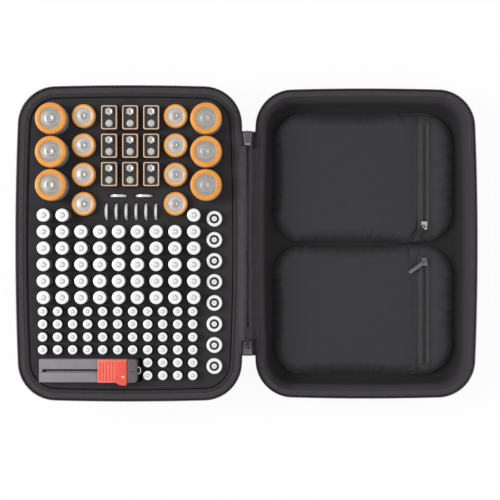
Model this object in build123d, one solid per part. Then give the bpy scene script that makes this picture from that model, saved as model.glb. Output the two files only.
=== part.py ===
"""Zipped hard case for loose batteries, lying open and flat, with its cells and its tester.

The left half is the deep base: a moulded shell with a foam insert that holds the cells upright,
each size in its own grid of sockets.  The right half is the shallow lid: a moulded tray with two
zipped cloth pockets.  A strip of spine cloth joins them along one long side, and the zip runs
round the other three sides.

Millimetres.  +X runs from base to lid, +Y towards the end with the largest cells, +Z up.
The origin is on the table, midway between the two halves, under the spine.
"""
from build123d import *
import os
from math import ceil, radians, tan

os.makedirs("parts", exist_ok=True)

# ---------------------------------------------------------------- case, as seen from above
CASE_WIDTH = 250.0          # one half, over the zip teeth
CASE_LENGTH = 345.0
SIDE_BOW = 4.5              # how far a long side swells out between its corners
END_BOW = 2.5
CORNER_R = 42.0
MIN_CORNER_R = 6.0
HALVES_GAP = 9.0            # between the two halves at their closest, lying open

# ---------------------------------------------------------------- shells
BASE_DEPTH = 52.0           # table to the top of the base's zip tape
LID_DEPTH = 32.0
SHELL_WALL = 4.0
SHELL_INSET = 1.5           # the shell's edge, in from the zip teeth
BASE_DRAFT = 6.0            # degrees that the walls lean in towards the floor
LID_DRAFT = 20.0
BASE_EDGE_CHAMFER = 9.0     # slope between wall and floor, outside
LID_EDGE_CHAMFER = 8.0
INNER_CHAMFER = 5.0         # the same inside

# ---------------------------------------------------------------- zip that closes the case
LID_TAPE_WIDTH = 8.0
BASE_TAPE_WIDTH = 12.3      # the base's tape is bound together with the lining round the foam
TAPE_THICKNESS = 1.6
TEETH_WIDTH = 2.4
TEETH_HEIGHT = 1.6
ZIP_END_MARGIN = 51.5       # end of the case to where the teeth stop on the spine side
ZIP_SLIDER_SIZE = (10.0, 14.0, 3.6)
ZIP_SLIDER_X = -1.5
TAB_REACH = 3.3             # how far a slider's tab reaches under the base's tape
ZIP_PULL_LENGTH = 24.0
ZIP_PULL_WIDTH = 4.6

# ---------------------------------------------------------------- spine cloth
SPINE_END_GAP = 1.0         # between the cloth and each parked slider
SPINE_HALF_WIDTH = 10.5
SPINE_THICKNESS = 1.4
SPINE_LIFT = 0.3            # clear of the lid, which moves under it
SPINE_FOLD_R = 1.6
SPINE_EDGE_CLEARANCE = 0.4  # between the cloth and the edge of each tape

# ---------------------------------------------------------------- foam
FOAM_GROOVE = 0.7           # between the tape and the foam
FOAM_DROP = 2.0             # the foam's face, below the zip tape
PAD_THICKNESS = 4.0         # loose sheet under the insert
PAD_CLEARANCE = 0.3
SHORT_FLOOR = 5.0           # foam left under the sockets of the short cells
SOCKET_CLEARANCE = 0.3
CUT_PAST = 1.0              # a socket's cutter reaches this far above the foam's face

# ---------------------------------------------------------------- cells
D_DIAMETER, D_LENGTH = 34.2, 61.5
C_DIAMETER, C_LENGTH = 26.2, 50.0
AA_DIAMETER, AA_LENGTH = 14.5, 50.5
AAA_DIAMETER, AAA_LENGTH = 10.5, 44.5
PHOTO_DIAMETER, PHOTO_LENGTH = 17.0, 34.5
D_NUB_DIAMETER, D_NUB_HEIGHT = 9.5, 1.5
C_NUB_DIAMETER, C_NUB_HEIGHT = 6.6, 1.5
AA_NUB_DIAMETER, AA_NUB_HEIGHT = 5.5, 1.0
AAA_NUB_DIAMETER, AAA_NUB_HEIGHT = 3.8, 0.8
PHOTO_NUB_DIAMETER, PHOTO_NUB_HEIGHT = 6.4, 1.0
COIN_DIAMETER, COIN_THICKNESS = 20.0, 3.2
BLOCK_WIDTH, BLOCK_DEPTH, BLOCK_HEIGHT = 17.5, 26.5, 46.4
BLOCK_CHAMFER = 1.6
BLOCK_SNAP_SPACING = 12.7
BLOCK_SNAP_HEIGHT = 2.1
BLOCK_PLUG_R, BLOCK_SOCKET_R = 2.9, 3.9
PHOTO_PROUD = 6.0           # how far a photo cell stands out of the foam
COIN_PROUD = 5.0

# The cells repeat so often that each has a few flat sides, with its corners on the true circle.
D_SIDES, C_SIDES, AA_SIDES, AAA_SIDES, PHOTO_SIDES, COIN_SIDES = 16, 12, 8, 6, 8, 10
NUB_SIDES, SMALL_NUB_SIDES = 6, 4
PLUG_SIDES, SOCKET_SIDES = 8, 6

# ---------------------------------------------------------------- layout of the insert
SIDE_MARGIN = 12.4          # foam edge to the outer columns of small cells
D_SIDE_MARGIN = 11.4
PHOTO_SIDE_MARGIN = 11.5
TOP_MARGIN = 8.0            # foam edge to the top row
BLOCK_TOP_MARGIN = 9.8
TESTER_MARGIN = 9.1         # foam edge to the tester
PHOTO_END_MARGIN = 17.0     # least that is left below the lowest photo cell
AAA_END_MARGIN = 10.0       # the same below the lowest AAA cells
GROUP_WEB = 3.3             # foam between neighbours of different sizes
D_WEB, C_WEB = 1.6, 5.6     # foam between rows of one size
BLOCK_WEB_X, BLOCK_WEB_Y = 5.3, 4.2
BLOCK_SIDE_WEB = 4.0        # least between the blocks and the C cells
AA_LEAST_WEB_X, AA_WEB_Y = 5.6, 3.3
AAA_LEAST_WEB_X, AAA_WEB_Y = 5.7, 3.4
PHOTO_WEB = 5.9
PHOTO_TOP_WEB = 10.4
AA_SIDE_WEB = 6.2           # last AA column to the photo cells
AAA_SIDE_WEB = 9.6
AA_TOP_LEAST_WEB = 9.5      # last row of C cells to the first full row of AA
AAA_TOP_WEB = 2.8
AAA_TESTER_LEAST_WEB = 1.9
COIN_TOP_WEB = 8.1
COIN_ROW_WEB = 6.0
COIN_WEB = 7.6
COIN_SIDE_WEB = 8.0
COIN_PAIR_WEB = 8.0
MIDDLE_X = 1.0              # the middle groups sit a little right of centre
D_ROWS, C_ROWS, BLOCK_ROWS = 3, 4, 3
AAA_ROWS = 4

# ---------------------------------------------------------------- battery tester, on its edge
TESTER_LENGTH = 96.0        # grey body
TESTER_THICKNESS = 25.0
TESTER_HEIGHT = 52.0
TESTER_INDENT = 2.0         # its end, in from the edge of the first column of cells
TESTER_WEB = 4.6            # foam between it and the AAA cells
TESTER_EDGE_R = 1.5
TRACK_WIDTH, TRACK_DEPTH, TRACK_MARGIN = 3.2, 4.0, 4.0
TRACK_CLEARANCE = 0.3
ARM_LENGTH, ARM_THICKNESS = 31.5, 3.0
ARM_FOOT_LENGTH, ARM_FOOT_PROUD = 7.0, 3.0
ARM_RIBS, ARM_RIB_WIDTH, ARM_RIB_HEIGHT = 7, 1.6, 1.0
ARM_RIB_INDENT, ARM_TONGUE_INDENT = 2.0, 1.0
ARM_CONTACT_R, ARM_CONTACT_HEIGHT = 1.6, 0.8
END_BLOCK_LENGTH = 10.5
END_BLOCK_GAP = 0.5
CONTACT_WIRE_R, CONTACT_WIRE_REACH, CONTACT_WIRE_WIDTH = 0.8, 3.5, 8.0

# ---------------------------------------------------------------- lid pockets
POCKET_SIDE_GAP = 2.4       # pocket's edge, in from the flat floor's edge
POCKET_END_GAP = 3.6
POCKET_SEAM = 3.0           # between the two pockets
POCKET_CORNER_R = 36.0
POCKET_CLOTH = 1.5
POCKET_SWELL = 10.0         # height above the lid's floor
POCKET_SLOPE_IN, POCKET_SLOPE_DOWN = 9.0, 7.0    # sloped edge round the flat top
POCKET_ZIP_INDENT = 34.0    # zip's middle, in from the pocket's outer edge
POCKET_ZIP_WIDTH = 13.0
POCKET_TAPE_THICKNESS = 0.6
POCKET_COIL_WIDTH, POCKET_COIL_HEIGHT = 3.0, 1.2
POCKET_ZIP_MARGIN = 4.0     # zip's ends, in from the edge of the flat top
POCKET_SLIDER_SIZE = (7.0, 9.0, 2.4)
POCKET_SLIDER_LIFT = 0.25   # above the tape
POCKET_SLIDER_MARGIN = 6.0  # slider's middle to the end of the zip
POCKET_CHANNEL_CLEARANCE = 0.3
POCKET_PULL_LENGTH = 22.0
POCKET_PULL_WIDTH = 4.0
POCKET_PULL_DROOP = 3.5     # degrees
UPPER_PULL_ANGLE = 239.0    # the way each pull lies, from +X towards +Y
LOWER_PULL_ANGLE = 216.0

# ---------------------------------------------------------------- pull tabs, both sizes
PULL_THICKNESS = 1.0
PULL_EYE = 2.4              # window behind the crossbar
BRIDGE_OPENING = 1.7        # lets the square crossbar turn
BRIDGE_WALL = 0.8
BRIDGE_WIDTH = 1.2
SLIDER_NOSE = 0.75          # nose width as a share of the shoulder's

# ---------------------------------------------------------------- places that follow from these
CENTRE_X = (HALVES_GAP + CASE_WIDTH) / 2
BASE_TAPE_Z = BASE_DEPTH - TAPE_THICKNESS
LID_TAPE_Z = LID_DEPTH - TAPE_THICKNESS
ZIP_END_Y = CASE_LENGTH / 2 - ZIP_END_MARGIN
SPINE_LENGTH = 2 * (ZIP_END_Y - ZIP_SLIDER_SIZE[1] - SPINE_END_GAP)
FOAM_INSET = BASE_TAPE_WIDTH + FOAM_GROOVE
FOAM_HALF_X = CASE_WIDTH / 2 - FOAM_INSET
FOAM_HALF_Y = CASE_LENGTH / 2 - FOAM_INSET
FOAM_TOP_Z = BASE_DEPTH - FOAM_DROP
FOAM_FLOOR_Z = SHELL_WALL + PAD_THICKNESS
SHORT_FLOOR_Z = FOAM_FLOOR_Z + SHORT_FLOOR
PHOTO_FLOOR_Z = FOAM_TOP_Z + PHOTO_PROUD - PHOTO_LENGTH
COIN_FLOOR_Z = FOAM_TOP_Z + COIN_PROUD - COIN_DIAMETER


# ================================================================ helpers
def outline(inset, corner_r=CORNER_R):
    """Plan shape of one half, drawn in by inset: four shallow arcs with rounded corners."""
    half_x = CASE_WIDTH / 2 - inset
    half_y = CASE_LENGTH / 2 - inset
    corner_x = half_x - SIDE_BOW
    corner_y = half_y - END_BOW
    right = ThreePointArc((corner_x, -corner_y), (half_x, 0), (corner_x, corner_y))
    top = ThreePointArc((corner_x, corner_y), (0, half_y), (-corner_x, corner_y))
    left = ThreePointArc((-corner_x, corner_y), (-half_x, 0), (-corner_x, -corner_y))
    bottom = ThreePointArc((-corner_x, -corner_y), (0, -half_y), (corner_x, -corner_y))
    face = make_face([right, top, left, bottom])
    return fillet(face.vertices(), max(corner_r - inset, MIN_CORNER_R))


def ring(outer_inset, inner_inset, low, high):
    """Flat band that follows the plan shape."""
    band = outline(outer_inset) - outline(inner_inset)
    return Pos(0, 0, low) * extrude(band, high - low)


def tub(inset, low, high, draft, edge_chamfer):
    """Solid tub: widest at its mouth, walls leaning in by draft, sloped where they meet the floor."""
    solid = extrude(Pos(0, 0, high) * outline(inset), low - high, taper=draft)
    return chamfer(solid.faces().sort_by(Axis.Z)[0].edges(), edge_chamfer)


def shell(depth, draft, edge_chamfer):
    """Moulded shell, even in its wall, open at the top."""
    outer = tub(SHELL_INSET, 0, depth, draft, edge_chamfer)
    return outer - tub(SHELL_INSET + SHELL_WALL, SHELL_WALL, depth, draft, INNER_CHAMFER)


def save(name, *solids):
    """Write one node, whatever number of separate solids it has."""
    flat = []
    for item in solids:
        flat.extend(item.solids())
    shape = flat[0] if len(flat) == 1 else Compound(children=flat)
    export_step(shape, f"parts/{name}.step")


def section(diameter, sides):
    """Plan of a cell or a socket, its corners on the circle of that diameter."""
    return RegularPolygon(diameter / 2, sides)


def upright_cell(diameter, length, nub_diameter, nub_height, sides, nub_sides=NUB_SIDES):
    """Upright cell on z = 0: can and nub."""
    can_length = length - nub_height
    can = extrude(section(diameter, sides), can_length)
    return can + Pos(0, 0, can_length) * extrude(section(nub_diameter, nub_sides), nub_height)


def fitting(space, size, least_web):
    """How many pieces of that size fit side by side, with at least that much foam between them."""
    return int((space + least_web) / (size + least_web))


def grid(left, top, pitch_x, pitch_y, columns, rows):
    """Places of a grid, row by row from the top left."""
    return [(left + i * pitch_x, top - j * pitch_y) for j in range(rows) for i in columns]


def stand(cell, places, floor_z):
    """Copies of a cell at their places in the base."""
    return [Pos(x - CENTRE_X, y, floor_z) * cell for x, y in places]


def sockets(plan, places, floor_z):
    """Holes for cells, from the foam's face down to floor_z."""
    plans = [Pos(x - CENTRE_X, y, floor_z) * plan for x, y in places]
    return [extrude(p, FOAM_TOP_Z - floor_z + CUT_PAST) for p in plans]


# ================================================================ where the cells stand
D_X = FOAM_HALF_X - D_SIDE_MARGIN - D_DIAMETER / 2
D_TOP_Y = FOAM_HALF_Y - TOP_MARGIN - D_DIAMETER / 2
D_PITCH = D_DIAMETER + D_WEB
D_PLACES = grid(-D_X, D_TOP_Y, 2 * D_X, D_PITCH, (0, 1), D_ROWS)
D_LAST_Y = D_TOP_Y - (D_ROWS - 1) * D_PITCH

C_X = D_X - D_DIAMETER / 2 - GROUP_WEB - C_DIAMETER / 2
C_TOP_Y = FOAM_HALF_Y - TOP_MARGIN - C_DIAMETER / 2
C_PITCH = C_DIAMETER + C_WEB
C_PLACES = grid(-C_X, C_TOP_Y, 2 * C_X, C_PITCH, (0, 1), C_ROWS)
C_LAST_Y = C_TOP_Y - (C_ROWS - 1) * C_PITCH

MIDDLE_SPACE = 2 * C_X - C_DIAMETER
BLOCK_PITCH_X = BLOCK_WIDTH + BLOCK_WEB_X
BLOCK_PITCH_Y = BLOCK_DEPTH + BLOCK_WEB_Y
BLOCK_COLUMNS = fitting(MIDDLE_SPACE - 2 * BLOCK_SIDE_WEB, BLOCK_WIDTH, BLOCK_WEB_X)
BLOCK_LEFT_X = MIDDLE_X - (BLOCK_COLUMNS - 1) / 2 * BLOCK_PITCH_X
BLOCK_TOP_Y = FOAM_HALF_Y - BLOCK_TOP_MARGIN - BLOCK_DEPTH / 2
BLOCK_LAST_Y = BLOCK_TOP_Y - (BLOCK_ROWS - 1) * BLOCK_PITCH_Y
BLOCK_RANGE = range(BLOCK_COLUMNS)
BLOCK_PLACES = grid(BLOCK_LEFT_X, BLOCK_TOP_Y, BLOCK_PITCH_X, BLOCK_PITCH_Y, BLOCK_RANGE, BLOCK_ROWS)

COIN_PITCH = COIN_THICKNESS + COIN_WEB
COIN_COUNT = fitting(MIDDLE_SPACE - 2 * COIN_SIDE_WEB, COIN_THICKNESS, COIN_WEB)
COIN_PAIR_PITCH = COIN_DIAMETER + COIN_PAIR_WEB
COIN_PAIR_Y = BLOCK_LAST_Y - BLOCK_DEPTH / 2 - COIN_TOP_WEB - COIN_THICKNESS / 2
COIN_ROW_Y = COIN_PAIR_Y - COIN_THICKNESS / 2 - COIN_ROW_WEB - COIN_DIAMETER / 2
COIN_ROW_LEFT_X = MIDDLE_X - (COIN_COUNT - 1) / 2 * COIN_PITCH
COIN_PAIR_PLACES = grid(MIDDLE_X - COIN_PAIR_PITCH / 2, COIN_PAIR_Y, COIN_PAIR_PITCH, 0, (0, 1), 1)
COIN_ROW_PLACES = grid(COIN_ROW_LEFT_X, COIN_ROW_Y, COIN_PITCH, 0, range(COIN_COUNT), 1)

# Photo cells stand in one column at the right, the tester lies along the lower edge, and the rows
# of small cells fill what is left between them.
PHOTO_X = FOAM_HALF_X - PHOTO_SIDE_MARGIN - PHOTO_DIAMETER / 2
PHOTO_TOP_Y = D_LAST_Y - D_DIAMETER / 2 - PHOTO_TOP_WEB - PHOTO_DIAMETER / 2
PHOTO_SPACE = PHOTO_TOP_Y + PHOTO_DIAMETER / 2 + FOAM_HALF_Y - PHOTO_END_MARGIN
PHOTO_ROWS = fitting(PHOTO_SPACE, PHOTO_DIAMETER, PHOTO_WEB)
PHOTO_PLACES = grid(PHOTO_X, PHOTO_TOP_Y, 0, PHOTO_DIAMETER + PHOTO_WEB, (0,), PHOTO_ROWS)

SMALL_EDGE_X = -FOAM_HALF_X + SIDE_MARGIN
TESTER_X = SMALL_EDGE_X + TESTER_INDENT - CENTRE_X
TESTER_Y = -FOAM_HALF_Y + TESTER_MARGIN + TESTER_THICKNESS / 2
TESTER_TOP_Z = FOAM_FLOOR_Z + TESTER_HEIGHT
TESTER_SLOT_LENGTH = TESTER_LENGTH + END_BLOCK_LENGTH + CONTACT_WIRE_REACH

AAA_SPACE = PHOTO_X - PHOTO_DIAMETER / 2 - AAA_SIDE_WEB - SMALL_EDGE_X
AAA_COLUMNS = fitting(AAA_SPACE, AAA_DIAMETER, AAA_LEAST_WEB_X)
AAA_PITCH_X = (AAA_SPACE - AAA_DIAMETER) / (AAA_COLUMNS - 1)
AAA_PITCH_Y = AAA_DIAMETER + AAA_WEB_Y
AAA_LEFT_X = SMALL_EDGE_X + AAA_DIAMETER / 2
AAA_LAST_Y = TESTER_Y + TESTER_THICKNESS / 2 + TESTER_WEB + AAA_DIAMETER / 2
AAA_TOP_Y = AAA_LAST_Y + (AAA_ROWS - 1) * AAA_PITCH_Y
AAA_PLACES = grid(AAA_LEFT_X, AAA_TOP_Y, AAA_PITCH_X, AAA_PITCH_Y, range(AAA_COLUMNS), AAA_ROWS)

# Shorter rows of them go on beside the tester.
BESIDE_TESTER_X = TESTER_X + CENTRE_X + TESTER_SLOT_LENGTH + AAA_TESTER_LEAST_WEB
AAA_SHORT_RANGE = range(ceil((BESIDE_TESTER_X - SMALL_EDGE_X) / AAA_PITCH_X), AAA_COLUMNS)
AAA_SHORT_SPACE = AAA_LAST_Y - AAA_DIAMETER / 2 - AAA_WEB_Y + FOAM_HALF_Y - AAA_END_MARGIN
AAA_SHORT_ROWS = fitting(AAA_SHORT_SPACE, AAA_DIAMETER, AAA_WEB_Y)
AAA_SHORT_Y = AAA_LAST_Y - AAA_PITCH_Y
AAA_PLACES += grid(AAA_LEFT_X, AAA_SHORT_Y, AAA_PITCH_X, AAA_PITCH_Y, AAA_SHORT_RANGE, AAA_SHORT_ROWS)

AA_SPACE = PHOTO_X - PHOTO_DIAMETER / 2 - AA_SIDE_WEB - SMALL_EDGE_X
AA_COLUMNS = fitting(AA_SPACE, AA_DIAMETER, AA_LEAST_WEB_X)
AA_PITCH_X = (AA_SPACE - AA_DIAMETER) / (AA_COLUMNS - 1)
AA_PITCH_Y = AA_DIAMETER + AA_WEB_Y
AA_LEFT_X = SMALL_EDGE_X + AA_DIAMETER / 2
AA_FOOT_Y = AAA_TOP_Y + AAA_DIAMETER / 2 + AAA_TOP_WEB
AA_HEAD_Y = C_LAST_Y - C_DIAMETER / 2 - AA_TOP_LEAST_WEB
AA_ROWS = fitting(AA_HEAD_Y - AA_FOOT_Y, AA_DIAMETER, AA_WEB_Y)
AA_TOP_Y = AA_FOOT_Y + AA_DIAMETER / 2 + (AA_ROWS - 1) * AA_PITCH_Y
AA_EXTRA_COLUMNS = (0, 1, AA_COLUMNS - 1)      # three more beside the coins
AA_PLACES = grid(AA_LEFT_X, AA_TOP_Y + AA_PITCH_Y, AA_PITCH_X, AA_PITCH_Y, AA_EXTRA_COLUMNS, 1)
AA_PLACES += grid(AA_LEFT_X, AA_TOP_Y, AA_PITCH_X, AA_PITCH_Y, range(AA_COLUMNS), AA_ROWS)


# ================================================================ the base
def base_shell():
    return Pos(-CENTRE_X, 0, 0) * shell(BASE_TAPE_Z, BASE_DRAFT, BASE_EDGE_CHAMFER)


def foam_insert():
    """The insert, with a socket for every cell and a slot for the tester."""
    foam = Pos(-CENTRE_X, 0, FOAM_FLOOR_Z) * extrude(outline(FOAM_INSET), FOAM_TOP_Z - FOAM_FLOOR_Z)
    wider = 2 * SOCKET_CLEARANCE
    block_plan = chamfered_plan(BLOCK_WIDTH + wider, BLOCK_DEPTH + wider, BLOCK_CHAMFER)
    coin_slot = Rectangle(COIN_DIAMETER + wider, COIN_THICKNESS + wider)
    tester_plan = Pos(TESTER_X + TESTER_SLOT_LENGTH / 2, TESTER_Y, FOAM_FLOOR_Z) * Rectangle(
        TESTER_SLOT_LENGTH + wider, TESTER_THICKNESS + wider
    )
    holes = sockets(section(D_DIAMETER + wider, D_SIDES), D_PLACES, FOAM_FLOOR_Z)
    holes += sockets(section(C_DIAMETER + wider, C_SIDES), C_PLACES, FOAM_FLOOR_Z)
    holes += sockets(section(AA_DIAMETER + wider, AA_SIDES), AA_PLACES, SHORT_FLOOR_Z)
    holes += sockets(section(AAA_DIAMETER + wider, AAA_SIDES), AAA_PLACES, SHORT_FLOOR_Z)
    holes += sockets(section(PHOTO_DIAMETER + wider, PHOTO_SIDES), PHOTO_PLACES, PHOTO_FLOOR_Z)
    holes += sockets(block_plan, BLOCK_PLACES, SHORT_FLOOR_Z)
    holes += sockets(coin_slot, COIN_PAIR_PLACES, COIN_FLOOR_Z)
    holes += sockets(Rot(0, 0, 90) * coin_slot, COIN_ROW_PLACES, COIN_FLOOR_Z)
    holes += [extrude(tester_plan, FOAM_TOP_Z)]
    return foam - holes


def foam_pad():
    wall_foot = SHELL_INSET + SHELL_WALL + (BASE_TAPE_Z - SHELL_WALL) * tan(radians(BASE_DRAFT))
    pad = outline(wall_foot + INNER_CHAMFER + PAD_CLEARANCE)
    return Pos(-CENTRE_X, 0, SHELL_WALL) * extrude(pad, PAD_THICKNESS)


def zip_half(tape_width, tape_z, spine_side):
    """Tape with its row of teeth as one bead on the outer edge; the teeth stop short of the spine."""
    tape = ring(0, tape_width, tape_z, tape_z + TAPE_THICKNESS)
    teeth_z = tape_z + TAPE_THICKNESS
    teeth = ring(0, TEETH_WIDTH, teeth_z, teeth_z + TEETH_HEIGHT)
    opening = Box(CORNER_R, 2 * ZIP_END_Y, 4 * TEETH_HEIGHT)
    return tape + (teeth - Pos(spine_side * CASE_WIDTH / 2, 0, teeth_z) * opening)


def base_zip():
    """Zip half of the base, with a tab at each end of the spine that carries the parked slider."""
    tape = Pos(-CENTRE_X, 0, 0) * zip_half(BASE_TAPE_WIDTH, BASE_TAPE_Z, 1)
    tab_left = -HALVES_GAP / 2 - TAB_REACH
    tab_right = ZIP_SLIDER_X + ZIP_SLIDER_SIZE[0] / 2
    tab = Box(tab_right - tab_left, ZIP_SLIDER_SIZE[1], TAPE_THICKNESS)
    for side in (-1, 1):
        y = side * (ZIP_END_Y - ZIP_SLIDER_SIZE[1] / 2)
        tape += Pos((tab_left + tab_right) / 2, y, BASE_TAPE_Z - TAPE_THICKNESS / 2) * tab
    return tape


# ================================================================ cells
def chamfered_plan(width, depth, corner):
    plan = Rectangle(width, depth)
    return chamfer(plan.vertices(), corner)


def block_cell():
    """Nine-volt block with its two snaps, long side along Y."""
    case = extrude(chamfered_plan(BLOCK_WIDTH, BLOCK_DEPTH, BLOCK_CHAMFER), BLOCK_HEIGHT)
    plug = extrude(RegularPolygon(BLOCK_PLUG_R, PLUG_SIDES), BLOCK_SNAP_HEIGHT)
    socket = extrude(RegularPolygon(BLOCK_SOCKET_R, SOCKET_SIDES), BLOCK_SNAP_HEIGHT)
    case += Pos(0, -BLOCK_SNAP_SPACING / 2, BLOCK_HEIGHT) * plug
    return case + Pos(0, BLOCK_SNAP_SPACING / 2, BLOCK_HEIGHT) * socket


def coin_cell():
    """Coin cell on edge on z = 0, its faces towards +Y and -Y."""
    disc = extrude(section(COIN_DIAMETER, COIN_SIDES), COIN_THICKNESS / 2, both=True)
    lift = COIN_DIAMETER / 2
    return Pos(0, 0, lift) * Rot(90, 0, 0) * disc


def save_cells(name, solids):
    """The middle cell of each size lifts out; the others of that size are one node."""
    loose = solids.pop(len(solids) // 2)
    save(name + "s", *solids)
    save("loose_" + name, loose)


# ================================================================ tester
def tester_body():
    """Grey body with the track that the arm slides along, in its upper edge."""
    block = Box(TESTER_LENGTH, TESTER_THICKNESS, TESTER_HEIGHT)
    block = fillet(block.edges().filter_by(Axis.Z), TESTER_EDGE_R)
    block = Pos(TESTER_X + TESTER_LENGTH / 2, TESTER_Y, FOAM_FLOOR_Z + TESTER_HEIGHT / 2) * block
    track_length = TESTER_LENGTH - TRACK_MARGIN
    track_x = TESTER_X + TRACK_MARGIN + track_length / 2
    track = Box(track_length, TRACK_WIDTH, TRACK_DEPTH)
    return block - Pos(track_x, TESTER_Y, TESTER_TOP_Z - TRACK_DEPTH / 2) * track


ARM_END_X = TESTER_X + TESTER_LENGTH - END_BLOCK_GAP
ARM_LOW_Z = TESTER_TOP_Z + TRACK_CLEARANCE
ARM_TOP_Z = ARM_LOW_Z + ARM_THICKNESS


def tester_arm():
    """Sliding arm: a ribbed plate with a tongue in the track and a foot that reaches past the side."""
    middle_x = ARM_END_X - ARM_LENGTH / 2
    middle_z = ARM_LOW_Z + ARM_THICKNESS / 2
    arm = Pos(middle_x, TESTER_Y, middle_z) * Box(ARM_LENGTH, TESTER_THICKNESS, ARM_THICKNESS)
    foot = Box(ARM_FOOT_LENGTH, TESTER_THICKNESS + ARM_FOOT_PROUD, ARM_THICKNESS)
    arm += Pos(ARM_END_X - ARM_FOOT_LENGTH / 2, TESTER_Y - ARM_FOOT_PROUD / 2, middle_z) * foot
    tongue_depth = TRACK_DEPTH - TRACK_CLEARANCE
    tongue = Box(ARM_LENGTH - 2 * ARM_TONGUE_INDENT, TRACK_WIDTH - 2 * TRACK_CLEARANCE, tongue_depth)
    arm += Pos(middle_x, TESTER_Y, ARM_LOW_Z - tongue_depth / 2) * tongue
    pitch = (ARM_LENGTH - ARM_FOOT_LENGTH) / ARM_RIBS
    rib = Box(ARM_RIB_WIDTH, TESTER_THICKNESS - 2 * ARM_RIB_INDENT, ARM_RIB_HEIGHT)
    for i in range(ARM_RIBS):
        x = ARM_END_X - ARM_LENGTH + (i + 0.5) * pitch
        arm += Pos(x, TESTER_Y, ARM_TOP_Z + ARM_RIB_HEIGHT / 2) * rib
    return arm


def tester_arm_contact():
    stud = extrude(RegularPolygon(ARM_CONTACT_R, PLUG_SIDES), ARM_CONTACT_HEIGHT)
    return Pos(ARM_END_X - ARM_FOOT_LENGTH / 2, TESTER_Y - TESTER_THICKNESS / 4, ARM_TOP_Z) * stud


def tester_end_block():
    height = TESTER_HEIGHT + TRACK_CLEARANCE + ARM_THICKNESS
    block = Box(END_BLOCK_LENGTH, TESTER_THICKNESS, height)
    block = fillet(block.edges().filter_by(Axis.Z).sort_by(Axis.X)[-2:], 2 * TESTER_EDGE_R)
    x = TESTER_X + TESTER_LENGTH + END_BLOCK_LENGTH / 2
    return Pos(x, TESTER_Y, FOAM_FLOOR_Z + height / 2) * block


def tester_end_contact():
    """Flat spring contact that stands out of the end block."""
    x = TESTER_X + TESTER_LENGTH + END_BLOCK_LENGTH
    z = TESTER_TOP_Z - CONTACT_WIRE_WIDTH / 2
    half = CONTACT_WIRE_WIDTH / 2
    reach = CONTACT_WIRE_REACH
    profile = make_face(Polyline((0, -half), (reach, -half / 2), (reach, half / 2), (0, half), close=True))
    strip = extrude(profile, CONTACT_WIRE_R, both=True)
    return Pos(x, TESTER_Y, z) * strip


# ================================================================ sliders and pulls
def slider(size):
    """Zip slider standing on z = 0, its narrow nose towards -Y."""
    width, length, height = size
    nose = width * SLIDER_NOSE
    low, high = -length / 2, length / 2
    plan = Polyline((-width / 2, high), (-nose / 2, low), (nose / 2, low), (width / 2, high), close=True)
    return extrude(make_face(plan), height)


def bridge():
    """Arch over a crossbar whose axis is the Y axis; its legs end half an opening below it."""
    wide = BRIDGE_OPENING + 2 * BRIDGE_WALL
    low = (Align.CENTER, Align.CENTER, Align.MIN)
    arch = Box(wide, BRIDGE_WIDTH, BRIDGE_OPENING + BRIDGE_WALL, align=low)
    arch -= Box(BRIDGE_OPENING, 2 * BRIDGE_WIDTH, BRIDGE_OPENING, align=low)
    return Pos(0, 0, -BRIDGE_OPENING / 2) * arch


def pull(length, width):
    """Pull lying along +X, with its crossbar's axis on the Y axis and a window that the bridge fills."""
    start = (Align.MIN, Align.CENTER, Align.CENTER)
    plate = Pos(-PULL_THICKNESS / 2, 0, 0) * Box(length, width, PULL_THICKNESS, align=start)
    plate = chamfer(plate.edges().filter_by(Axis.Z).sort_by(Axis.X)[-2:], width / 4)
    window = Box(PULL_EYE, width - 2 * PULL_THICKNESS, 2 * PULL_THICKNESS, align=start)
    return plate - Pos(PULL_THICKNESS / 2, 0, 0) * window


ZIP_SLIDER_Y = ZIP_END_Y - ZIP_SLIDER_SIZE[1] / 2
ZIP_SLIDER_TOP_Z = BASE_TAPE_Z + ZIP_SLIDER_SIZE[2]


def upper_zip_parts():
    """Slider parked at the upper end of the spine; its pull hangs from a loop on its outer end."""
    pivot = Pos(ZIP_SLIDER_X, ZIP_END_Y + BRIDGE_OPENING / 2, BASE_TAPE_Z + ZIP_SLIDER_SIZE[2] / 2)
    body = Pos(ZIP_SLIDER_X, ZIP_SLIDER_Y, BASE_TAPE_Z) * slider(ZIP_SLIDER_SIZE)
    loop = pivot * Rot(0, 0, 90) * Rot(0, 90, 0) * bridge()
    hanging = pivot * Rot(0, 0, 90) * Rot(0, 90, 0) * pull(ZIP_PULL_LENGTH, ZIP_PULL_WIDTH)
    return body + loop, hanging


def lower_zip_parts():
    """Slider parked at the lower end; its pull lies inwards along the spine."""
    body = Pos(ZIP_SLIDER_X, -ZIP_SLIDER_Y, BASE_TAPE_Z) * Rot(0, 0, 180) * slider(ZIP_SLIDER_SIZE)
    pivot = Pos(ZIP_SLIDER_X, -ZIP_SLIDER_Y, ZIP_SLIDER_TOP_Z + BRIDGE_OPENING / 2) * Rot(0, 0, 90)
    return body + pivot * bridge(), pivot * pull(ZIP_PULL_LENGTH, ZIP_PULL_WIDTH)


# ================================================================ spine
def spine_cloth():
    """Strip that lies on both rims and drops from the base's to the lid's between them."""
    high = BASE_DEPTH + SPINE_THICKNESS / 2
    low = LID_DEPTH + SPINE_LIFT + SPINE_THICKNESS / 2
    edge = HALVES_GAP / 2 - SPINE_THICKNESS / 2 - SPINE_EDGE_CLEARANCE
    corners = [(-SPINE_HALF_WIDTH, high), (-edge, high), (edge, low), (SPINE_HALF_WIDTH, low)]
    path = FilletPolyline(*corners, radius=SPINE_FOLD_R)
    strip = make_face(offset(path, SPINE_THICKNESS / 2, side=Side.BOTH).edges())
    return Plane.XZ * extrude(strip, SPINE_LENGTH / 2, both=True)


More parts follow.
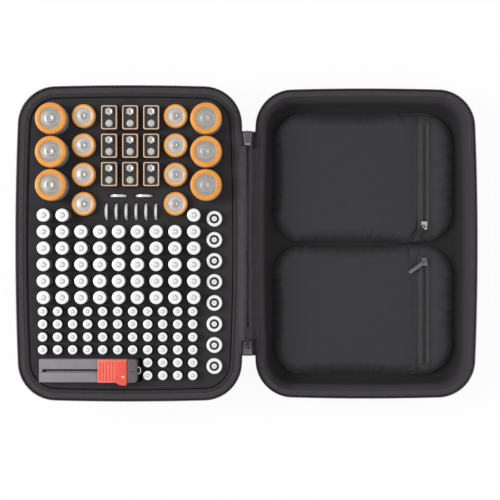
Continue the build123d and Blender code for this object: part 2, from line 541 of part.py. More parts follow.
# ================================================================ lid
LID_FLOOR_INSET = SHELL_INSET + SHELL_WALL + (LID_TAPE_Z - SHELL_WALL) * tan(radians(LID_DRAFT))
LID_FLAT_INSET = LID_FLOOR_INSET + INNER_CHAMFER
POCKET_WIDTH = CASE_WIDTH - 2 * (LID_FLAT_INSET + POCKET_SIDE_GAP)
POCKET_LENGTH = (CASE_LENGTH - 2 * (LID_FLAT_INSET + POCKET_END_GAP) - POCKET_SEAM) / 2
POCKET_Y = (POCKET_LENGTH + POCKET_SEAM) / 2
POCKET_ZIP_X = POCKET_WIDTH / 2 - POCKET_ZIP_INDENT
POCKET_TOP_Z = SHELL_WALL + POCKET_SWELL
POCKET_ZIP_LENGTH = POCKET_LENGTH - 2 * (POCKET_SLOPE_IN + POCKET_ZIP_MARGIN)
POCKET_SLIDER_Y = POCKET_Y - POCKET_ZIP_LENGTH / 2 + POCKET_SLIDER_MARGIN
POCKET_SLIDER_Z = POCKET_TOP_Z + POCKET_TAPE_THICKNESS + POCKET_SLIDER_LIFT
POCKET_PIVOT_Z = POCKET_SLIDER_Z + POCKET_SLIDER_SIZE[2] + BRIDGE_OPENING / 2


def lid_shell():
    return Pos(CENTRE_X, 0, 0) * shell(LID_TAPE_Z, LID_DRAFT, LID_EDGE_CHAMFER)


def pocket_plan(inset):
    return RectangleRounded(POCKET_WIDTH - 2 * inset, POCKET_LENGTH - 2 * inset, POCKET_CORNER_R - inset)


def pocket_panel(side):
    """Cloth front of one pocket, swollen and hollow behind."""
    pillow = extrude(pocket_plan(0), POCKET_SWELL)
    top = pillow.faces().sort_by(Axis.Z)[-1]
    pillow = chamfer(top.edges(), POCKET_SLOPE_IN, POCKET_SLOPE_DOWN, reference=top)
    pillow -= extrude(pocket_plan(POCKET_SLOPE_IN + POCKET_CLOTH), POCKET_SWELL - POCKET_CLOTH)
    return Pos(CENTRE_X, side * POCKET_Y, SHELL_WALL) * pillow


def pocket_zip_strip(side, width, height, low):
    strip = Box(width, POCKET_ZIP_LENGTH, height, align=(Align.CENTER, Align.CENTER, Align.MIN))
    return Pos(CENTRE_X + POCKET_ZIP_X, side * POCKET_Y, low) * strip


def pocket_slider_and_pull(side, angle):
    """Slider astride the coil at the end of the zip nearest the middle, and its pull."""
    place = Pos(CENTRE_X + POCKET_ZIP_X, side * POCKET_SLIDER_Y, POCKET_SLIDER_Z)
    channel_height = POCKET_COIL_HEIGHT - POCKET_SLIDER_LIFT + POCKET_CHANNEL_CLEARANCE
    channel_width = POCKET_COIL_WIDTH + 2 * POCKET_CHANNEL_CLEARANCE
    low = (Align.CENTER, Align.CENTER, Align.MIN)
    channel = Box(channel_width, 2 * POCKET_SLIDER_SIZE[1], channel_height, align=low)
    body = place * Rot(0, 0, 90 - 90 * side) * (slider(POCKET_SLIDER_SIZE) - channel)
    pivot = Pos(CENTRE_X + POCKET_ZIP_X, side * POCKET_SLIDER_Y, POCKET_PIVOT_Z) * Rot(0, 0, angle)
    tab = pivot * Rot(0, POCKET_PULL_DROOP, 0) * pull(POCKET_PULL_LENGTH, POCKET_PULL_WIDTH)
    return body + pivot * bridge(), tab


# ================================================================ write every node
save("base_shell", base_shell())
save("base_zip", base_zip())
save("foam_insert", foam_insert())
save("foam_pad", foam_pad())

d_cell = upright_cell(D_DIAMETER, D_LENGTH, D_NUB_DIAMETER, D_NUB_HEIGHT, D_SIDES)
c_cell = upright_cell(C_DIAMETER, C_LENGTH, C_NUB_DIAMETER, C_NUB_HEIGHT, C_SIDES)
photo_cell = upright_cell(PHOTO_DIAMETER, PHOTO_LENGTH, PHOTO_NUB_DIAMETER, PHOTO_NUB_HEIGHT, PHOTO_SIDES)
aa_cell = upright_cell(
    AA_DIAMETER, AA_LENGTH, AA_NUB_DIAMETER, AA_NUB_HEIGHT, AA_SIDES, SMALL_NUB_SIDES
)
aaa_cell = upright_cell(
    AAA_DIAMETER, AAA_LENGTH, AAA_NUB_DIAMETER, AAA_NUB_HEIGHT, AAA_SIDES, SMALL_NUB_SIDES
)
coin_places = stand(coin_cell(), COIN_PAIR_PLACES, COIN_FLOOR_Z)
coin_places += stand(Rot(0, 0, 90) * coin_cell(), COIN_ROW_PLACES, COIN_FLOOR_Z)
save_cells("d_cell", stand(d_cell, D_PLACES, FOAM_FLOOR_Z))
save_cells("c_cell", stand(c_cell, C_PLACES, FOAM_FLOOR_Z))
save_cells("block_cell", stand(block_cell(), BLOCK_PLACES, SHORT_FLOOR_Z))
save_cells("aa_cell", stand(aa_cell, AA_PLACES, SHORT_FLOOR_Z))
save_cells("aaa_cell", stand(aaa_cell, AAA_PLACES, SHORT_FLOOR_Z))
save_cells("photo_cell", stand(photo_cell, PHOTO_PLACES, PHOTO_FLOOR_Z))
save_cells("coin_cell", coin_places)

save("tester_body", tester_body())
save("tester_arm", tester_arm())
save("tester_arm_contact", tester_arm_contact())
save("tester_end_block", tester_end_block())
save("tester_end_contact", tester_end_contact())

save("spine_cloth", spine_cloth())
for place, (body, tab) in (("upper", upper_zip_parts()), ("lower", lower_zip_parts())):
    save(place + "_zip_slider", body)
    save(place + "_zip_pull", tab)

save("lid_shell", lid_shell())
save("lid_zip", Pos(CENTRE_X, 0, 0) * zip_half(LID_TAPE_WIDTH, LID_TAPE_Z, -1))
for place, side, angle in (("upper", 1, UPPER_PULL_ANGLE), ("lower", -1, LOWER_PULL_ANGLE)):
    coil_z = POCKET_TOP_Z + POCKET_TAPE_THICKNESS
    save(place + "_pocket_panel", pocket_panel(side))
    tape = pocket_zip_strip(side, POCKET_ZIP_WIDTH, POCKET_TAPE_THICKNESS, POCKET_TOP_Z)
    save(place + "_pocket_zip_tape", tape)
    save(place + "_pocket_coil", pocket_zip_strip(side, POCKET_COIL_WIDTH, POCKET_COIL_HEIGHT, coil_z))
    body, tab = pocket_slider_and_pull(side, angle)
    save(place + "_pocket_slider", body)
    save(place + "_pocket_pull", tab)
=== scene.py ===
"""Looks of the zipped battery case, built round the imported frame.

Lengths below are in millimetres and become metres when an object is made.
"""
import math

import bmesh
import bpy
import numpy as np
from mathutils import Matrix, Vector, noise


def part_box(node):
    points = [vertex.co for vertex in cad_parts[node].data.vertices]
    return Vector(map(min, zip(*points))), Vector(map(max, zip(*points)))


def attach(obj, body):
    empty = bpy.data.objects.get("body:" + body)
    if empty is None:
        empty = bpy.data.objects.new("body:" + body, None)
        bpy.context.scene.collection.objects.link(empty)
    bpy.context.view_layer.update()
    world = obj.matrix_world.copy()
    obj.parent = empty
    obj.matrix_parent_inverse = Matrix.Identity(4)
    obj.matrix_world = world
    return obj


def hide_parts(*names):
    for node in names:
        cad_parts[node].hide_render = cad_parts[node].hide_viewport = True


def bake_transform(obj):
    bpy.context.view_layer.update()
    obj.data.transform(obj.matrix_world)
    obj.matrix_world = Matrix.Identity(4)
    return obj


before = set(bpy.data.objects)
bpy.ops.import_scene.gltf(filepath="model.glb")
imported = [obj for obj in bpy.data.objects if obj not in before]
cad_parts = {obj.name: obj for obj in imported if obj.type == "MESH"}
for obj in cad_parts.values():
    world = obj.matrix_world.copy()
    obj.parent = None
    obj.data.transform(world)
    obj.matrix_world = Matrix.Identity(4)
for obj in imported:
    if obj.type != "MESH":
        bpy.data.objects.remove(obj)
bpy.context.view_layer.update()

MM = 0.001

# ---------------------------------------------------------------- sizes, most of them as in the part's source
CASE_WIDTH, CASE_LENGTH = 250.0, 345.0
SIDE_BOW, END_BOW = 4.5, 2.5
CORNER_R, MIN_CORNER_R = 42.0, 6.0
BASE_X, LID_X = -129.5, 129.5
BASE_TAPE_Z, LID_TAPE_Z, TAPE_THICKNESS = 50.4, 30.4, 1.6
TEETH_HEIGHT, ZIP_END_Y = 1.6, 121.0
FOAM_INSET, FOAM_TOP_Z, FOAM_FLOOR_Z, SHORT_FLOOR_Z = 13.0, 50.0, 8.0, 13.0
SOCKET_CLEARANCE = 0.3
SHELL_INSET, SHELL_WALL, SHELL_INNER_R = 1.5, 4.0, 5.0
POCKET_WIDTH, POCKET_LENGTH, POCKET_Y, POCKET_CORNER_R = 204.98, 147.29, 75.15, 36.0
POCKET_ZIP_X, POCKET_ZIP_LENGTH, POCKET_TOP_Z = 197.99, 121.29, 14.0
POCKET_ZIP_HALF = POCKET_ZIP_LENGTH / 2
ZIP_SLIDER_X, ZIP_SLIDER_Y = -1.5, 114.0        # where the main zip's sliders are parked
SPINE_HALF_LENGTH = 106.0
CELL_RADII = {"d": 17.1, "c": 13.1, "aa": 7.25, "aaa": 5.25, "photo": 8.5}
BLOCK_PLAN, COIN_SOCKET = (17.5, 26.5), (20.6, 3.8)
HIDDEN_INSET = 60.0                             # where a floor's flat middle starts


# ================================================================ materials
def evenly(start, end, count):
    """count numbers from start to end."""
    return np.linspace(start, end, count).tolist()


def srgb(r, g, b):
    """Linear colour of an 8-bit screen colour."""
    def channel(v):
        v /= 255
        return v / 12.92 if v <= 0.04045 else ((v + 0.055) / 1.055) ** 2.4
    return (channel(r), channel(g), channel(b), 1.0)


class Surface:
    """A Principled material whose colour, roughness and relief come from small node trees."""

    def __init__(self, name, color, rough, metallic=0.0, **sockets):
        self.material = bpy.data.materials.new(name)
        self.material.use_nodes = True
        self.tree = self.material.node_tree
        self.shader = self.tree.nodes["Principled BSDF"]
        self.shader.inputs["Base Color"].default_value = color
        self.shader.inputs["Roughness"].default_value = rough
        self.shader.inputs["Metallic"].default_value = metallic
        for key, value in sockets.items():
            self.shader.inputs[key.replace("_", " ")].default_value = value
        self.material.diffuse_color = color
        coordinates = self.tree.nodes.new("ShaderNodeTexCoord")
        self.place = coordinates.outputs["Object"]
        self.relief = None

    def node(self, kind, inputs=(), **values):
        """New node; inputs gives sockets a value or the socket that feeds them."""
        made = self.tree.nodes.new(kind)
        for key, value in values.items():
            setattr(made, key, value)
        for key, value in dict(inputs).items():
            if isinstance(value, bpy.types.NodeSocket):
                self.tree.links.new(value, made.inputs[key])
            else:
                made.inputs[key].default_value = value
        return made

    def feed(self, socket, source):
        self.tree.links.new(source, self.shader.inputs[socket])
        return self

    def math(self, operation, *values):
        return self.node("ShaderNodeMath", enumerate(values), operation=operation).outputs[0]

    def split(self):
        """The X, Y and Z of a place on the object."""
        return self.node("ShaderNodeSeparateXYZ", {0: self.place}).outputs

    def cloud(self, size, detail=4.0):
        """Soft noise whose patches are about size millimetres wide."""
        scaled = self.node("ShaderNodeMapping", {"Scale": (1000.0 / size,) * 3, "Vector": self.place})
        values = {"Scale": 1.0, "Detail": detail, "Roughness": 0.55, "Vector": scaled.outputs["Vector"]}
        return self.node("ShaderNodeTexNoise", values).outputs["Fac"]

    def pores(self, size):
        values = {"Scale": 1000.0 / size, "Vector": self.place}
        return self.node("ShaderNodeTexVoronoi", values).outputs["Distance"]

    def weave(self, pitch):
        """Plain weave: over and under threads, also on upright faces."""
        x, y, z = self.split()
        turn = 2 * math.pi / (pitch * MM)
        across = self.math("SINE", self.math("MULTIPLY", self.math("ADD", x, z), turn))
        along = self.math("SINE", self.math("MULTIPLY", self.math("ADD", y, z), turn))
        return self.math("MULTIPLY", across, along)

    def tint(self, source, dark, light):
        """Base colour runs from dark to light with a source."""
        ramp = self.node("ShaderNodeValToRGB", {"Fac": source})
        for element, position, color in zip(ramp.color_ramp.elements, (0.3, 0.7), (dark, light)):
            element.position = position
            element.color = color
        return self.feed("Base Color", ramp.outputs["Color"])

    def paint_shade_towards_foot(self, low, high, darkest):
        """Painted shade: base colour darker towards the foot, standing in for the shade in deep folds and
        crevices; low and high are heights in millimetres.
        """
        values = {"From Min": low * MM, "From Max": high * MM, "To Min": darkest, "Value": self.split()[2]}
        share = self.node("ShaderNodeMapRange", values, interpolation_type="SMOOTHSTEP").outputs["Result"]
        color = self.shader.inputs["Base Color"].links[0].from_socket
        mix = self.node("ShaderNodeVectorMath", {0: color, "Scale": share}, operation="SCALE")
        return self.feed("Base Color", mix.outputs[0])

    def roughen(self, source, low, high):
        made = self.node("ShaderNodeMapRange", {"To Min": low, "To Max": high, "Value": source})
        return self.feed("Roughness", made.outputs["Result"])

    def bump(self, source, depth, strength):
        """Relief, depth in millimetres; each call lies on top of the last."""
        values = {"Distance": depth * MM, "Strength": strength, "Height": source}
        if self.relief is not None:
            values["Normal"] = self.relief
        self.relief = self.node("ShaderNodeBump", values).outputs["Normal"]
        return self.feed("Normal", self.relief)


def shade(color, factor):
    return tuple(min(c * factor, 1.0) for c in color[:3]) + (1.0,)


def cloth(name, rgb, rough=0.85, pitch=1.0, depth=0.10, mottle=0.16, foot=None):
    color = srgb(*rgb)
    made = Surface(name, color, rough, Sheen_Weight=0.12, Sheen_Roughness=0.5)
    made.tint(made.cloud(6.0, detail=6.0), shade(color, 1 - mottle), shade(color, 1 + mottle))
    # foot is painted shade: (low, high, darkest) darkens the colour towards the piece's foot, in place of the
    # shade that falls there.
    if foot:
        made.paint_shade_towards_foot(*foot)
    made.roughen(made.cloud(2.5), rough - 0.08, min(rough + 0.08, 1.0))
    made.bump(made.cloud(1.2, detail=5.0), 0.12, 0.5)
    made.bump(made.weave(pitch), depth, 0.6)
    return made.material


def plastic(name, rgb, rough=0.45, grain=0.35, depth=0.03, mottle=0.06):
    color = srgb(*rgb)
    made = Surface(name, color, rough)
    made.tint(made.cloud(9.0), shade(color, 1 - mottle), shade(color, 1 + mottle))
    made.roughen(made.cloud(3.0), rough - 0.06, rough + 0.08)
    made.bump(made.pores(grain), depth, 0.5)
    return made.material


def metal(name, rgb, rough=0.3, metallic=1.0, mottle=0.08):
    color = srgb(*rgb)
    made = Surface(name, color, rough, metallic)
    made.tint(made.cloud(3.0), shade(color, 1 - mottle), color)
    made.roughen(made.cloud(1.5), max(rough - 0.08, 0.05), rough + 0.1)
    made.bump(made.cloud(0.5), 0.02, 0.4)
    return made.material


SHELL = cloth("shell_weave", (54, 51, 53), pitch=1.6, depth=0.16)
# The lining's foot is painted shade: it darkens to a tenth near the shell's floor, where the deep crevices
# lie in shade.
LINING = cloth("lining_knit", (58, 54, 58), rough=0.8, pitch=0.7, depth=0.05, mottle=0.10,
               foot=(5.0, 25.0, 0.10))
TAPE = cloth("zip_tape_twill", (57, 54, 57), pitch=1.1, depth=0.12, mottle=0.12)
BINDING = cloth("binding_tape", (41, 38, 40), pitch=0.9, depth=0.10)
# The spine cloth's foot is painted shade: its low, hanging folds are darkened.
SPINE = cloth("spine_canvas", (64, 59, 63), pitch=1.2, depth=0.14, foot=(30.0, 53.0, 0.75))
# The pocket's foot is painted shade: the cloth darkens towards its seam, in the crevice along the lid's
# walls.
POCKET = cloth("pocket_nylon", (41, 39, 42), rough=0.72, pitch=0.6, depth=0.04, mottle=0.06,
               foot=(5.0, 14.5, 0.25))
ZIP_CLOTH = cloth("pocket_zip_cloth", (56, 54, 56), rough=0.7, pitch=0.8, depth=0.10, mottle=0.2)
THREAD = cloth("stitch_thread", (76, 72, 75), rough=0.7, pitch=0.5, depth=0.05, mottle=0.1)
TEETH = plastic("zip_teeth", (18, 17, 18), rough=0.4)
COIL = plastic("coil_nylon", (46, 44, 46), rough=0.5)
LACQUER = metal("slider_lacquer", (104, 101, 105), rough=0.38, metallic=0.5)
# BRIGHT is the nickel of the upper pocket slider and also a painted highlight on the main slider's nose.
BRIGHT = metal("slider_nickel_and_painted_highlight", (215, 215, 218), rough=0.25)
DULL = metal("slider_dull_nickel", (120, 118, 121), rough=0.4, metallic=0.7)
RUBBER = plastic("pull_rubber", (30, 28, 30), rough=0.6, grain=0.5, depth=0.04)
ORANGE = plastic("jacket_orange", (232, 154, 62), rough=0.32, depth=0.01, mottle=0.12)
PEACH = plastic("jacket_peach", (222, 186, 146), rough=0.34, depth=0.01, mottle=0.10)
SIDE_GREY = plastic("jacket_grey", (150, 142, 144), rough=0.36, depth=0.01, mottle=0.08)
SIDE_DARK = plastic("jacket_dark", (58, 56, 58), rough=0.34, depth=0.01)
SIDE_PALE = plastic("jacket_pale", (186, 186, 188), rough=0.34, depth=0.01)
SIDE_WHITE = plastic("jacket_white", (240, 240, 241), rough=0.3, depth=0.01, mottle=0.02)
CAN = metal("can_steel", (200, 195, 187), rough=0.34, metallic=0.85, mottle=0.16)
CAN_SILVER = metal("can_silver", (214, 209, 204), rough=0.36, metallic=0.7, mottle=0.14)
CAN_PALE = metal("can_pale_steel", (248, 248, 248), rough=0.42, metallic=0.25, mottle=0.04)
NUB = metal("nub_steel", (190, 187, 187), rough=0.4, metallic=0.8)
NUB_PALE = metal("nub_pale_steel", (226, 225, 227), rough=0.36, metallic=0.5, mottle=0.12)
SEAL = plastic("seal_dark", (38, 36, 38), rough=0.6)
COPPER = metal("jacket_copper", (176, 128, 96), rough=0.34, metallic=0.45, mottle=0.2)
RIM_COPPER = metal("rim_copper", (240, 212, 184), rough=0.3, metallic=0.45, mottle=0.14)
SNAP = metal("snap_nickel", (224, 222, 216), rough=0.3, metallic=0.6, mottle=0.16)
STEEL = metal("coin_steel", (240, 240, 240), rough=0.3, metallic=0.45)
BRASS = metal("contact_brass", (250, 205, 110), rough=0.3, metallic=0.6)
GREY = plastic("tester_grey_shell", (132, 129, 135), rough=0.5, depth=0.03)
DARK = plastic("tester_dark_shell", (94, 88, 93), rough=0.5, depth=0.03)
BLACK = plastic("track_black", (26, 24, 34), rough=0.6)
CORAL = plastic("arm_coral", (245, 110, 93), rough=0.4, depth=0.02, mottle=0.05)
RED = plastic("arm_red", (232, 86, 72), rough=0.4, depth=0.02, mottle=0.05)

foam_surface = Surface("foam_closed_cell", srgb(44, 42, 44), 0.92)
foam_surface.tint(foam_surface.cloud(14.0, detail=6.0), srgb(38, 36, 38), srgb(47, 45, 47))
foam_surface.bump(foam_surface.cloud(3.0, detail=6.0), 0.25, 0.5)
foam_surface.bump(foam_surface.pores(0.8), 0.12, 0.6)
FOAM = foam_surface.material


# ================================================================ mesh helpers
def in_scene(name, data):
    made = bpy.data.objects.new(name, data)
    bpy.context.scene.collection.objects.link(made)
    return made


def applied(made):
    """Mesh of an object as its modifiers or curve settings shape it."""
    bpy.context.view_layer.update()
    return bpy.data.meshes.new_from_object(made.evaluated_get(bpy.context.evaluated_depsgraph_get()))


class Mesh:
    """Collects vertices in millimetres and faces, each with its material."""

    def __init__(self, *materials):
        self.materials = list(materials)
        self.vertices = []
        self.faces = []
        self.slots = []
        self.count = 0

    def add(self, vertices, faces, material=None, place=None):
        points = np.asarray(vertices, float)
        if place is not None:
            turn = np.array(place, float)
            points = points @ turn[:3, :3].T + turn[:3, 3]
        start = self.count
        self.vertices.append(points)
        self.count += len(points)
        slots = material if isinstance(material, (list, tuple)) else [material] * len(faces)
        for face, slot in zip(faces, slots):
            self.faces.append([start + i for i in face])
            self.slots.append(self.materials.index(slot) if slot is not None else 0)
        return self

    def box(self, material, size, bevel, segments, place):
        """Adds a box centred on a place, every edge rounded."""
        return self.add(*rounded_box(size, bevel, segments), material, place)

    def make(self, node, body, slot, smooth=40.0, name=None):
        """Piece that stands for a CAD node; body is None where it is blended between two."""
        name = name or node + "_skin"
        data = bpy.data.meshes.new(name)
        data.from_pydata((np.vstack(self.vertices) * MM).tolist(), [], self.faces)
        for material in self.materials:
            data.materials.append(material)
        data.polygons.foreach_set("material_index", np.array(self.slots, np.int32))
        data.validate()
        made = in_scene(name, data)
        if smooth:
            data.shade_smooth()
            data.set_sharp_from_angle(angle=math.radians(smooth))
        if body:
            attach(made, body)
            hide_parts(node)
        return made


def at(x, y, z, turn_z=0.0, turn_y=0.0, turn_x=0.0):
    """Place in millimetres, turned in degrees about X, then Y, then Z."""
    place = Matrix.Translation((x, y, z))
    for angle, axis in ((turn_z, "Z"), (turn_y, "Y"), (turn_x, "X")):
        place = place @ Matrix.Rotation(math.radians(angle), 4, axis)
    return place


def bands(rows, n, ring=True, loop=False):
    """Faces between rows of n points; ring closes each row, loop joins the last row to the first."""
    faces = []
    for i in range(rows if loop else rows - 1):
        j = (i + 1) % rows
        for k in range(n if ring else n - 1):
            m = (k + 1) % n
            faces.append((i * n + k, i * n + m, j * n + m, j * n + k))
    return faces


def from_bmesh(bm):
    vertices = [tuple(v.co) for v in bm.verts]
    faces = [[v.index for v in f.verts] for f in bm.faces]
    bm.free()
    return vertices, faces


def rounded_box(size, bevel, segments):
    """Box centred on the origin with every edge rounded."""
    bm = bmesh.new()
    bmesh.ops.create_cube(bm, size=1.0)
    bmesh.ops.scale(bm, vec=Vector(size), verts=bm.verts)
    bmesh.ops.bevel(bm, geom=bm.edges[:], offset=bevel, segments=segments, profile=0.5, affect="EDGES")
    bm.verts.index_update()
    return from_bmesh(bm)


def prism(plan, low, high, bevel=0.0, segments=2):
    """Upright prism over a plan, its top and bottom edges rounded."""
    bm = bmesh.new()
    foot = [bm.verts.new((x, y, low)) for x, y in plan]
    top = [bm.verts.new((x, y, high)) for x, y in plan]
    n = len(plan)
    bm.faces.new(foot[::-1])
    bm.faces.new(top)
    for i in range(n):
        bm.faces.new((foot[i], foot[(i + 1) % n], top[(i + 1) % n], top[i]))
    if bevel:
        rims = [e for e in bm.edges if abs(e.verts[0].co.z - e.verts[1].co.z) < 1e-6]
        bmesh.ops.bevel(bm, geom=rims, offset=bevel, segments=segments, profile=0.5, affect="EDGES")
    bm.verts.index_update()
    return from_bmesh(bm)


def turned(*stretches):
    """Profile rows from stretches of (material, (radius, z), ...)."""
    return [(radius, z, material) for material, *points in stretches for radius, z in points]


def lathe(profile, sides):
    """Turned shape: profile rows are (radius, z, material of the band above it)."""
    vertices, faces, slots = [], [], []
    angles = [2 * math.pi * i / sides for i in range(sides)]
    rows = []
    for radius, z, _ in profile:
        if radius < 1e-6:
            rows.append([len(vertices)])
            vertices.append((0, 0, z))
        else:
            rows.append(list(range(len(vertices), len(vertices) + sides)))
            vertices += [(radius * math.cos(a), radius * math.sin(a), z) for a in angles]
    for i in range(len(profile) - 1):
        a, b = rows[i], rows[i + 1]
        for k in range(sides):
            n = (k + 1) % sides
            if len(a) == 1:
                faces.append((a[0], b[n], b[k]))
            elif len(b) == 1:
                faces.append((a[k], a[n], b[0]))
            else:
                faces.append((a[k], a[n], b[n], b[k]))
            slots.append(profile[i][2])
    return vertices, faces, slots


def tube(points, radius, sides):
    """Round rod along points."""
    line = [Vector(p) for p in points]
    n = len(line)
    vertices = []
    for i, p in enumerate(line):
        before = line[i - 1] if i else p
        after = line[i + 1] if i < n - 1 else p
        direction = (after - before).normalized()
        side = direction.cross(Vector((0, 0, 1)))
        if side.length < 1e-3:
            side = direction.cross(Vector((0, 1, 0)))
        side.normalize()
        up = side.cross(direction)
        for k in range(sides):
            a = 2 * math.pi * k / sides
            vertices.append(tuple(p + side * radius * math.cos(a) + up * radius * math.sin(a)))
    caps = [tuple(range(sides))[::-1], tuple(range((n - 1) * sides, n * sides))]
    return vertices, bands(n, sides) + caps


def rounded_rectangle(width, depth, radius, steps=5):
    points = []
    for sx, sy, start in ((1, 1, 0), (-1, 1, 90), (-1, -1, 180), (1, -1, 270)):
        for i in range(steps + 1):
            a = math.radians(start + 90 * i / steps)
            x = sx * (width / 2 - radius) + radius * math.cos(a)
            y = sy * (depth / 2 - radius) + radius * math.sin(a)
            points.append((x, y))
    return points


# ================================================================ the plan of one half
def outline(inset, side_steps=14, corner_steps=14):
    """Points round the plan of one half, from the middle of its +X side, anticlockwise."""
    half_x, half_y = CASE_WIDTH / 2 - inset, CASE_LENGTH / 2 - inset
    corner_x, corner_y = half_x - SIDE_BOW, half_y - END_BOW
    side_r = (corner_y ** 2 + SIDE_BOW ** 2) / (2 * SIDE_BOW)
    end_r = (corner_x ** 2 + END_BOW ** 2) / (2 * END_BOW)
    side_c, end_c = Vector((half_x - side_r, 0)), Vector((0, half_y - end_r))
    radius = max(CORNER_R - inset, MIN_CORNER_R)
    a, b = side_r - radius, end_r - radius
    apart = end_c - side_c
    d = apart.length
    along = (a * a - b * b + d * d) / (2 * d)
    off = math.sqrt(a * a - along * along)
    unit = apart / d
    normal = Vector((unit.y, -unit.x))
    foot = side_c + unit * along
    centre = max((foot + normal * off, foot - normal * off), key=lambda p: p.x)
    first = math.atan2(centre.y - side_c.y, centre.x - side_c.x)
    last = math.atan2(centre.y - end_c.y, centre.x - end_c.x)

    def arc(middle, r, start, end, count):
        return [middle + r * Vector((math.cos(t), math.sin(t))) for t in evenly(start, end, count)]

    quarter = arc(side_c, side_r, 0, first, side_steps)
    quarter += arc(centre, radius, first, last, corner_steps)[1:]
    quarter += arc(end_c, end_r, last, math.pi / 2, side_steps)[1:]
    q = np.array([(p.x, p.y) for p in quarter])
    mirrored = q[::-1][1:] * (-1, 1)
    half = np.vstack([q, mirrored])
    return np.vstack([half, half[::-1][1:-1] * (1, -1)])


def along_outline(inset, step, gap_side=0):
    """Evenly spaced (x, y, angle) round the plan, without the spine's stretch on gap_side."""
    points = outline(inset, 40, 40)
    closed = np.vstack([points, points[:1]])
    spans = np.linalg.norm(np.diff(closed, axis=0), axis=1)
    run = np.concatenate([[0], np.cumsum(spans)])
    count = int(run[-1] / step)
    places = []
    for s in np.arange(count) * run[-1] / count:
        i = min(int(np.searchsorted(run, s, side="right")) - 1, len(spans) - 1)
        t = (s - run[i]) / spans[i]
        x, y = closed[i] * (1 - t) + closed[i + 1] * t
        dx, dy = closed[i + 1] - closed[i]
        if x * gap_side > CASE_WIDTH / 4 and abs(y) < ZIP_END_Y:
            continue
        places.append((x, y, math.degrees(math.atan2(dy, dx))))
    return places


def swept(mesh, profile, centre_x, closed=True):
    """Skin over outlines, rows (inset, z, material of the band after it); an open one has filled ends."""
    rings = []
    for inset, z, _ in profile:
        ring = outline(inset)
        rings.append(np.column_stack([ring[:, 0] + centre_x, ring[:, 1], np.full(len(ring), z)]))
    n = len(rings[0])
    faces = bands(len(profile), n, loop=closed)
    slots = [profile[i // n][2] for i in range(len(faces))]
    if not closed:
        faces += [tuple(range(n))[::-1], tuple(range((len(profile) - 1) * n, len(profile) * n))]
        slots += [profile[0][2], profile[-1][2]]
    return mesh.add(np.vstack(rings), faces, slots)


def arc_rows(centre_inset, centre_z, radius, start, end, material, steps):
    """Profile rows on an arc, angles in degrees from +inset towards +Z."""
    rows = []
    for t in evenly(math.radians(start), math.radians(end), steps + 1):
        rows.append((centre_inset + radius * math.cos(t), centre_z + radius * math.sin(t), material))
    return rows


# ================================================================ places read from the frame
def solids_of(node):
    """(centre x, centre y, low z, high z, size x, size y) in millimetres of each solid in a CAD node."""
    bm = bmesh.new()
    bm.from_mesh(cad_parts[node].data)
    bmesh.ops.remove_doubles(bm, verts=bm.verts, dist=1e-6)
    found, seen = [], set()
    for seed in bm.verts:
        if seed in seen:
            continue
        group, front = [], [seed]
        seen.add(seed)
        while front:
            v = front.pop()
            group.append(v.co)
            for e in v.link_edges:
                other = e.other_vert(v)
                if other not in seen:
                    seen.add(other)
                    front.append(other)
        co = np.array(group) / MM
        low, high = co.min(0), co.max(0)
        middle = (low + high) / 2
        found.append((middle[0], middle[1], low[2], high[2], high[0] - low[0], high[1] - low[1]))
    bm.free()
    return found


def box_mm(node):
    low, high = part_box(node)
    return np.array(low) / MM, np.array(high) / MM


CELL_NODES = ("d", "c", "block", "aa", "aaa", "photo", "coin")
PLACES = {kind: solids_of(kind + "_cells") for kind in CELL_NODES}
LOOSE = {kind: solids_of("loose_" + kind + "_cell") for kind in CELL_NODES}


# ================================================================ shells
def lean(inset, top_z, draft):
    return lambda z: inset + (top_z - z) * math.tan(math.radians(draft))


def shell_skin(node, body, centre_x, top_z, draft, edge_r):
    """Moulded shell: outer skin, rolled rim and lined inside."""
    outer = lean(SHELL_INSET, top_z, draft)
    inner = lean(SHELL_INSET + SHELL_WALL, top_z, draft)
    foot = outer(0) + edge_r * math.tan(math.radians(45 - draft / 2))
    corner = inner(SHELL_WALL)
    rows = [(HIDDEN_INSET, 0.0, SHELL), (foot + 6.0, 0.0, SHELL)]
    rows += arc_rows(foot + edge_r * 0.15, edge_r, edge_r, 270, 180 + draft, SHELL, 7)
    rows += [(outer(z), z, SHELL) for z in evenly(edge_r + 3, top_z - 2.5, 6)]
    rows += [(outer(top_z - 1.6) - 0.4, top_z - 1.6, SHELL), (SHELL_INSET, top_z - 0.1, SHELL),
             (SHELL_INSET + SHELL_WALL, top_z - 0.1, LINING)]
    rows += [(inner(z), z, LINING) for z in evenly(top_z - 2, SHELL_WALL + SHELL_INNER_R, 6)]
    rows += [(corner + SHELL_INNER_R * 0.35, SHELL_WALL + SHELL_INNER_R * 0.35, LINING),
             (corner + SHELL_INNER_R, SHELL_WALL, LINING), (HIDDEN_INSET, SHELL_WALL, LINING)]
    swept(Mesh(SHELL, LINING), rows, centre_x, closed=False).make(node, body, "shell_fabric", 60)


shell_skin("base_shell", "base", BASE_X, BASE_TAPE_Z, 6.0, 9.0)
shell_skin("lid_shell", "lid", LID_X, LID_TAPE_Z, 20.0, 8.0)


# ================================================================ zip tape, teeth and stitches
def tooth():
    """One moulded tooth: a head that points outwards and a foot on the tape, along +X outwards."""
    plan = [(-1.3, -0.42), (0.2, -0.42), (0.45, -0.7), (1.0, -0.7), (1.15, -0.35), (1.15, 0.35), (1.0, 0.7),
            (0.45, 0.7), (0.2, 0.42), (-1.3, 0.42)]
    return prism(plan, 0.0, TEETH_HEIGHT, 0.18, 1)


def stitch(length=2.3, radius=0.24):
    line = [(-length / 2, 0, -0.12), (-length * 0.36, 0, 0.10), (0, 0, 0.18), (length * 0.36, 0, 0.10),
            (length / 2, 0, -0.12)]
    return tube(line, radius, 5)


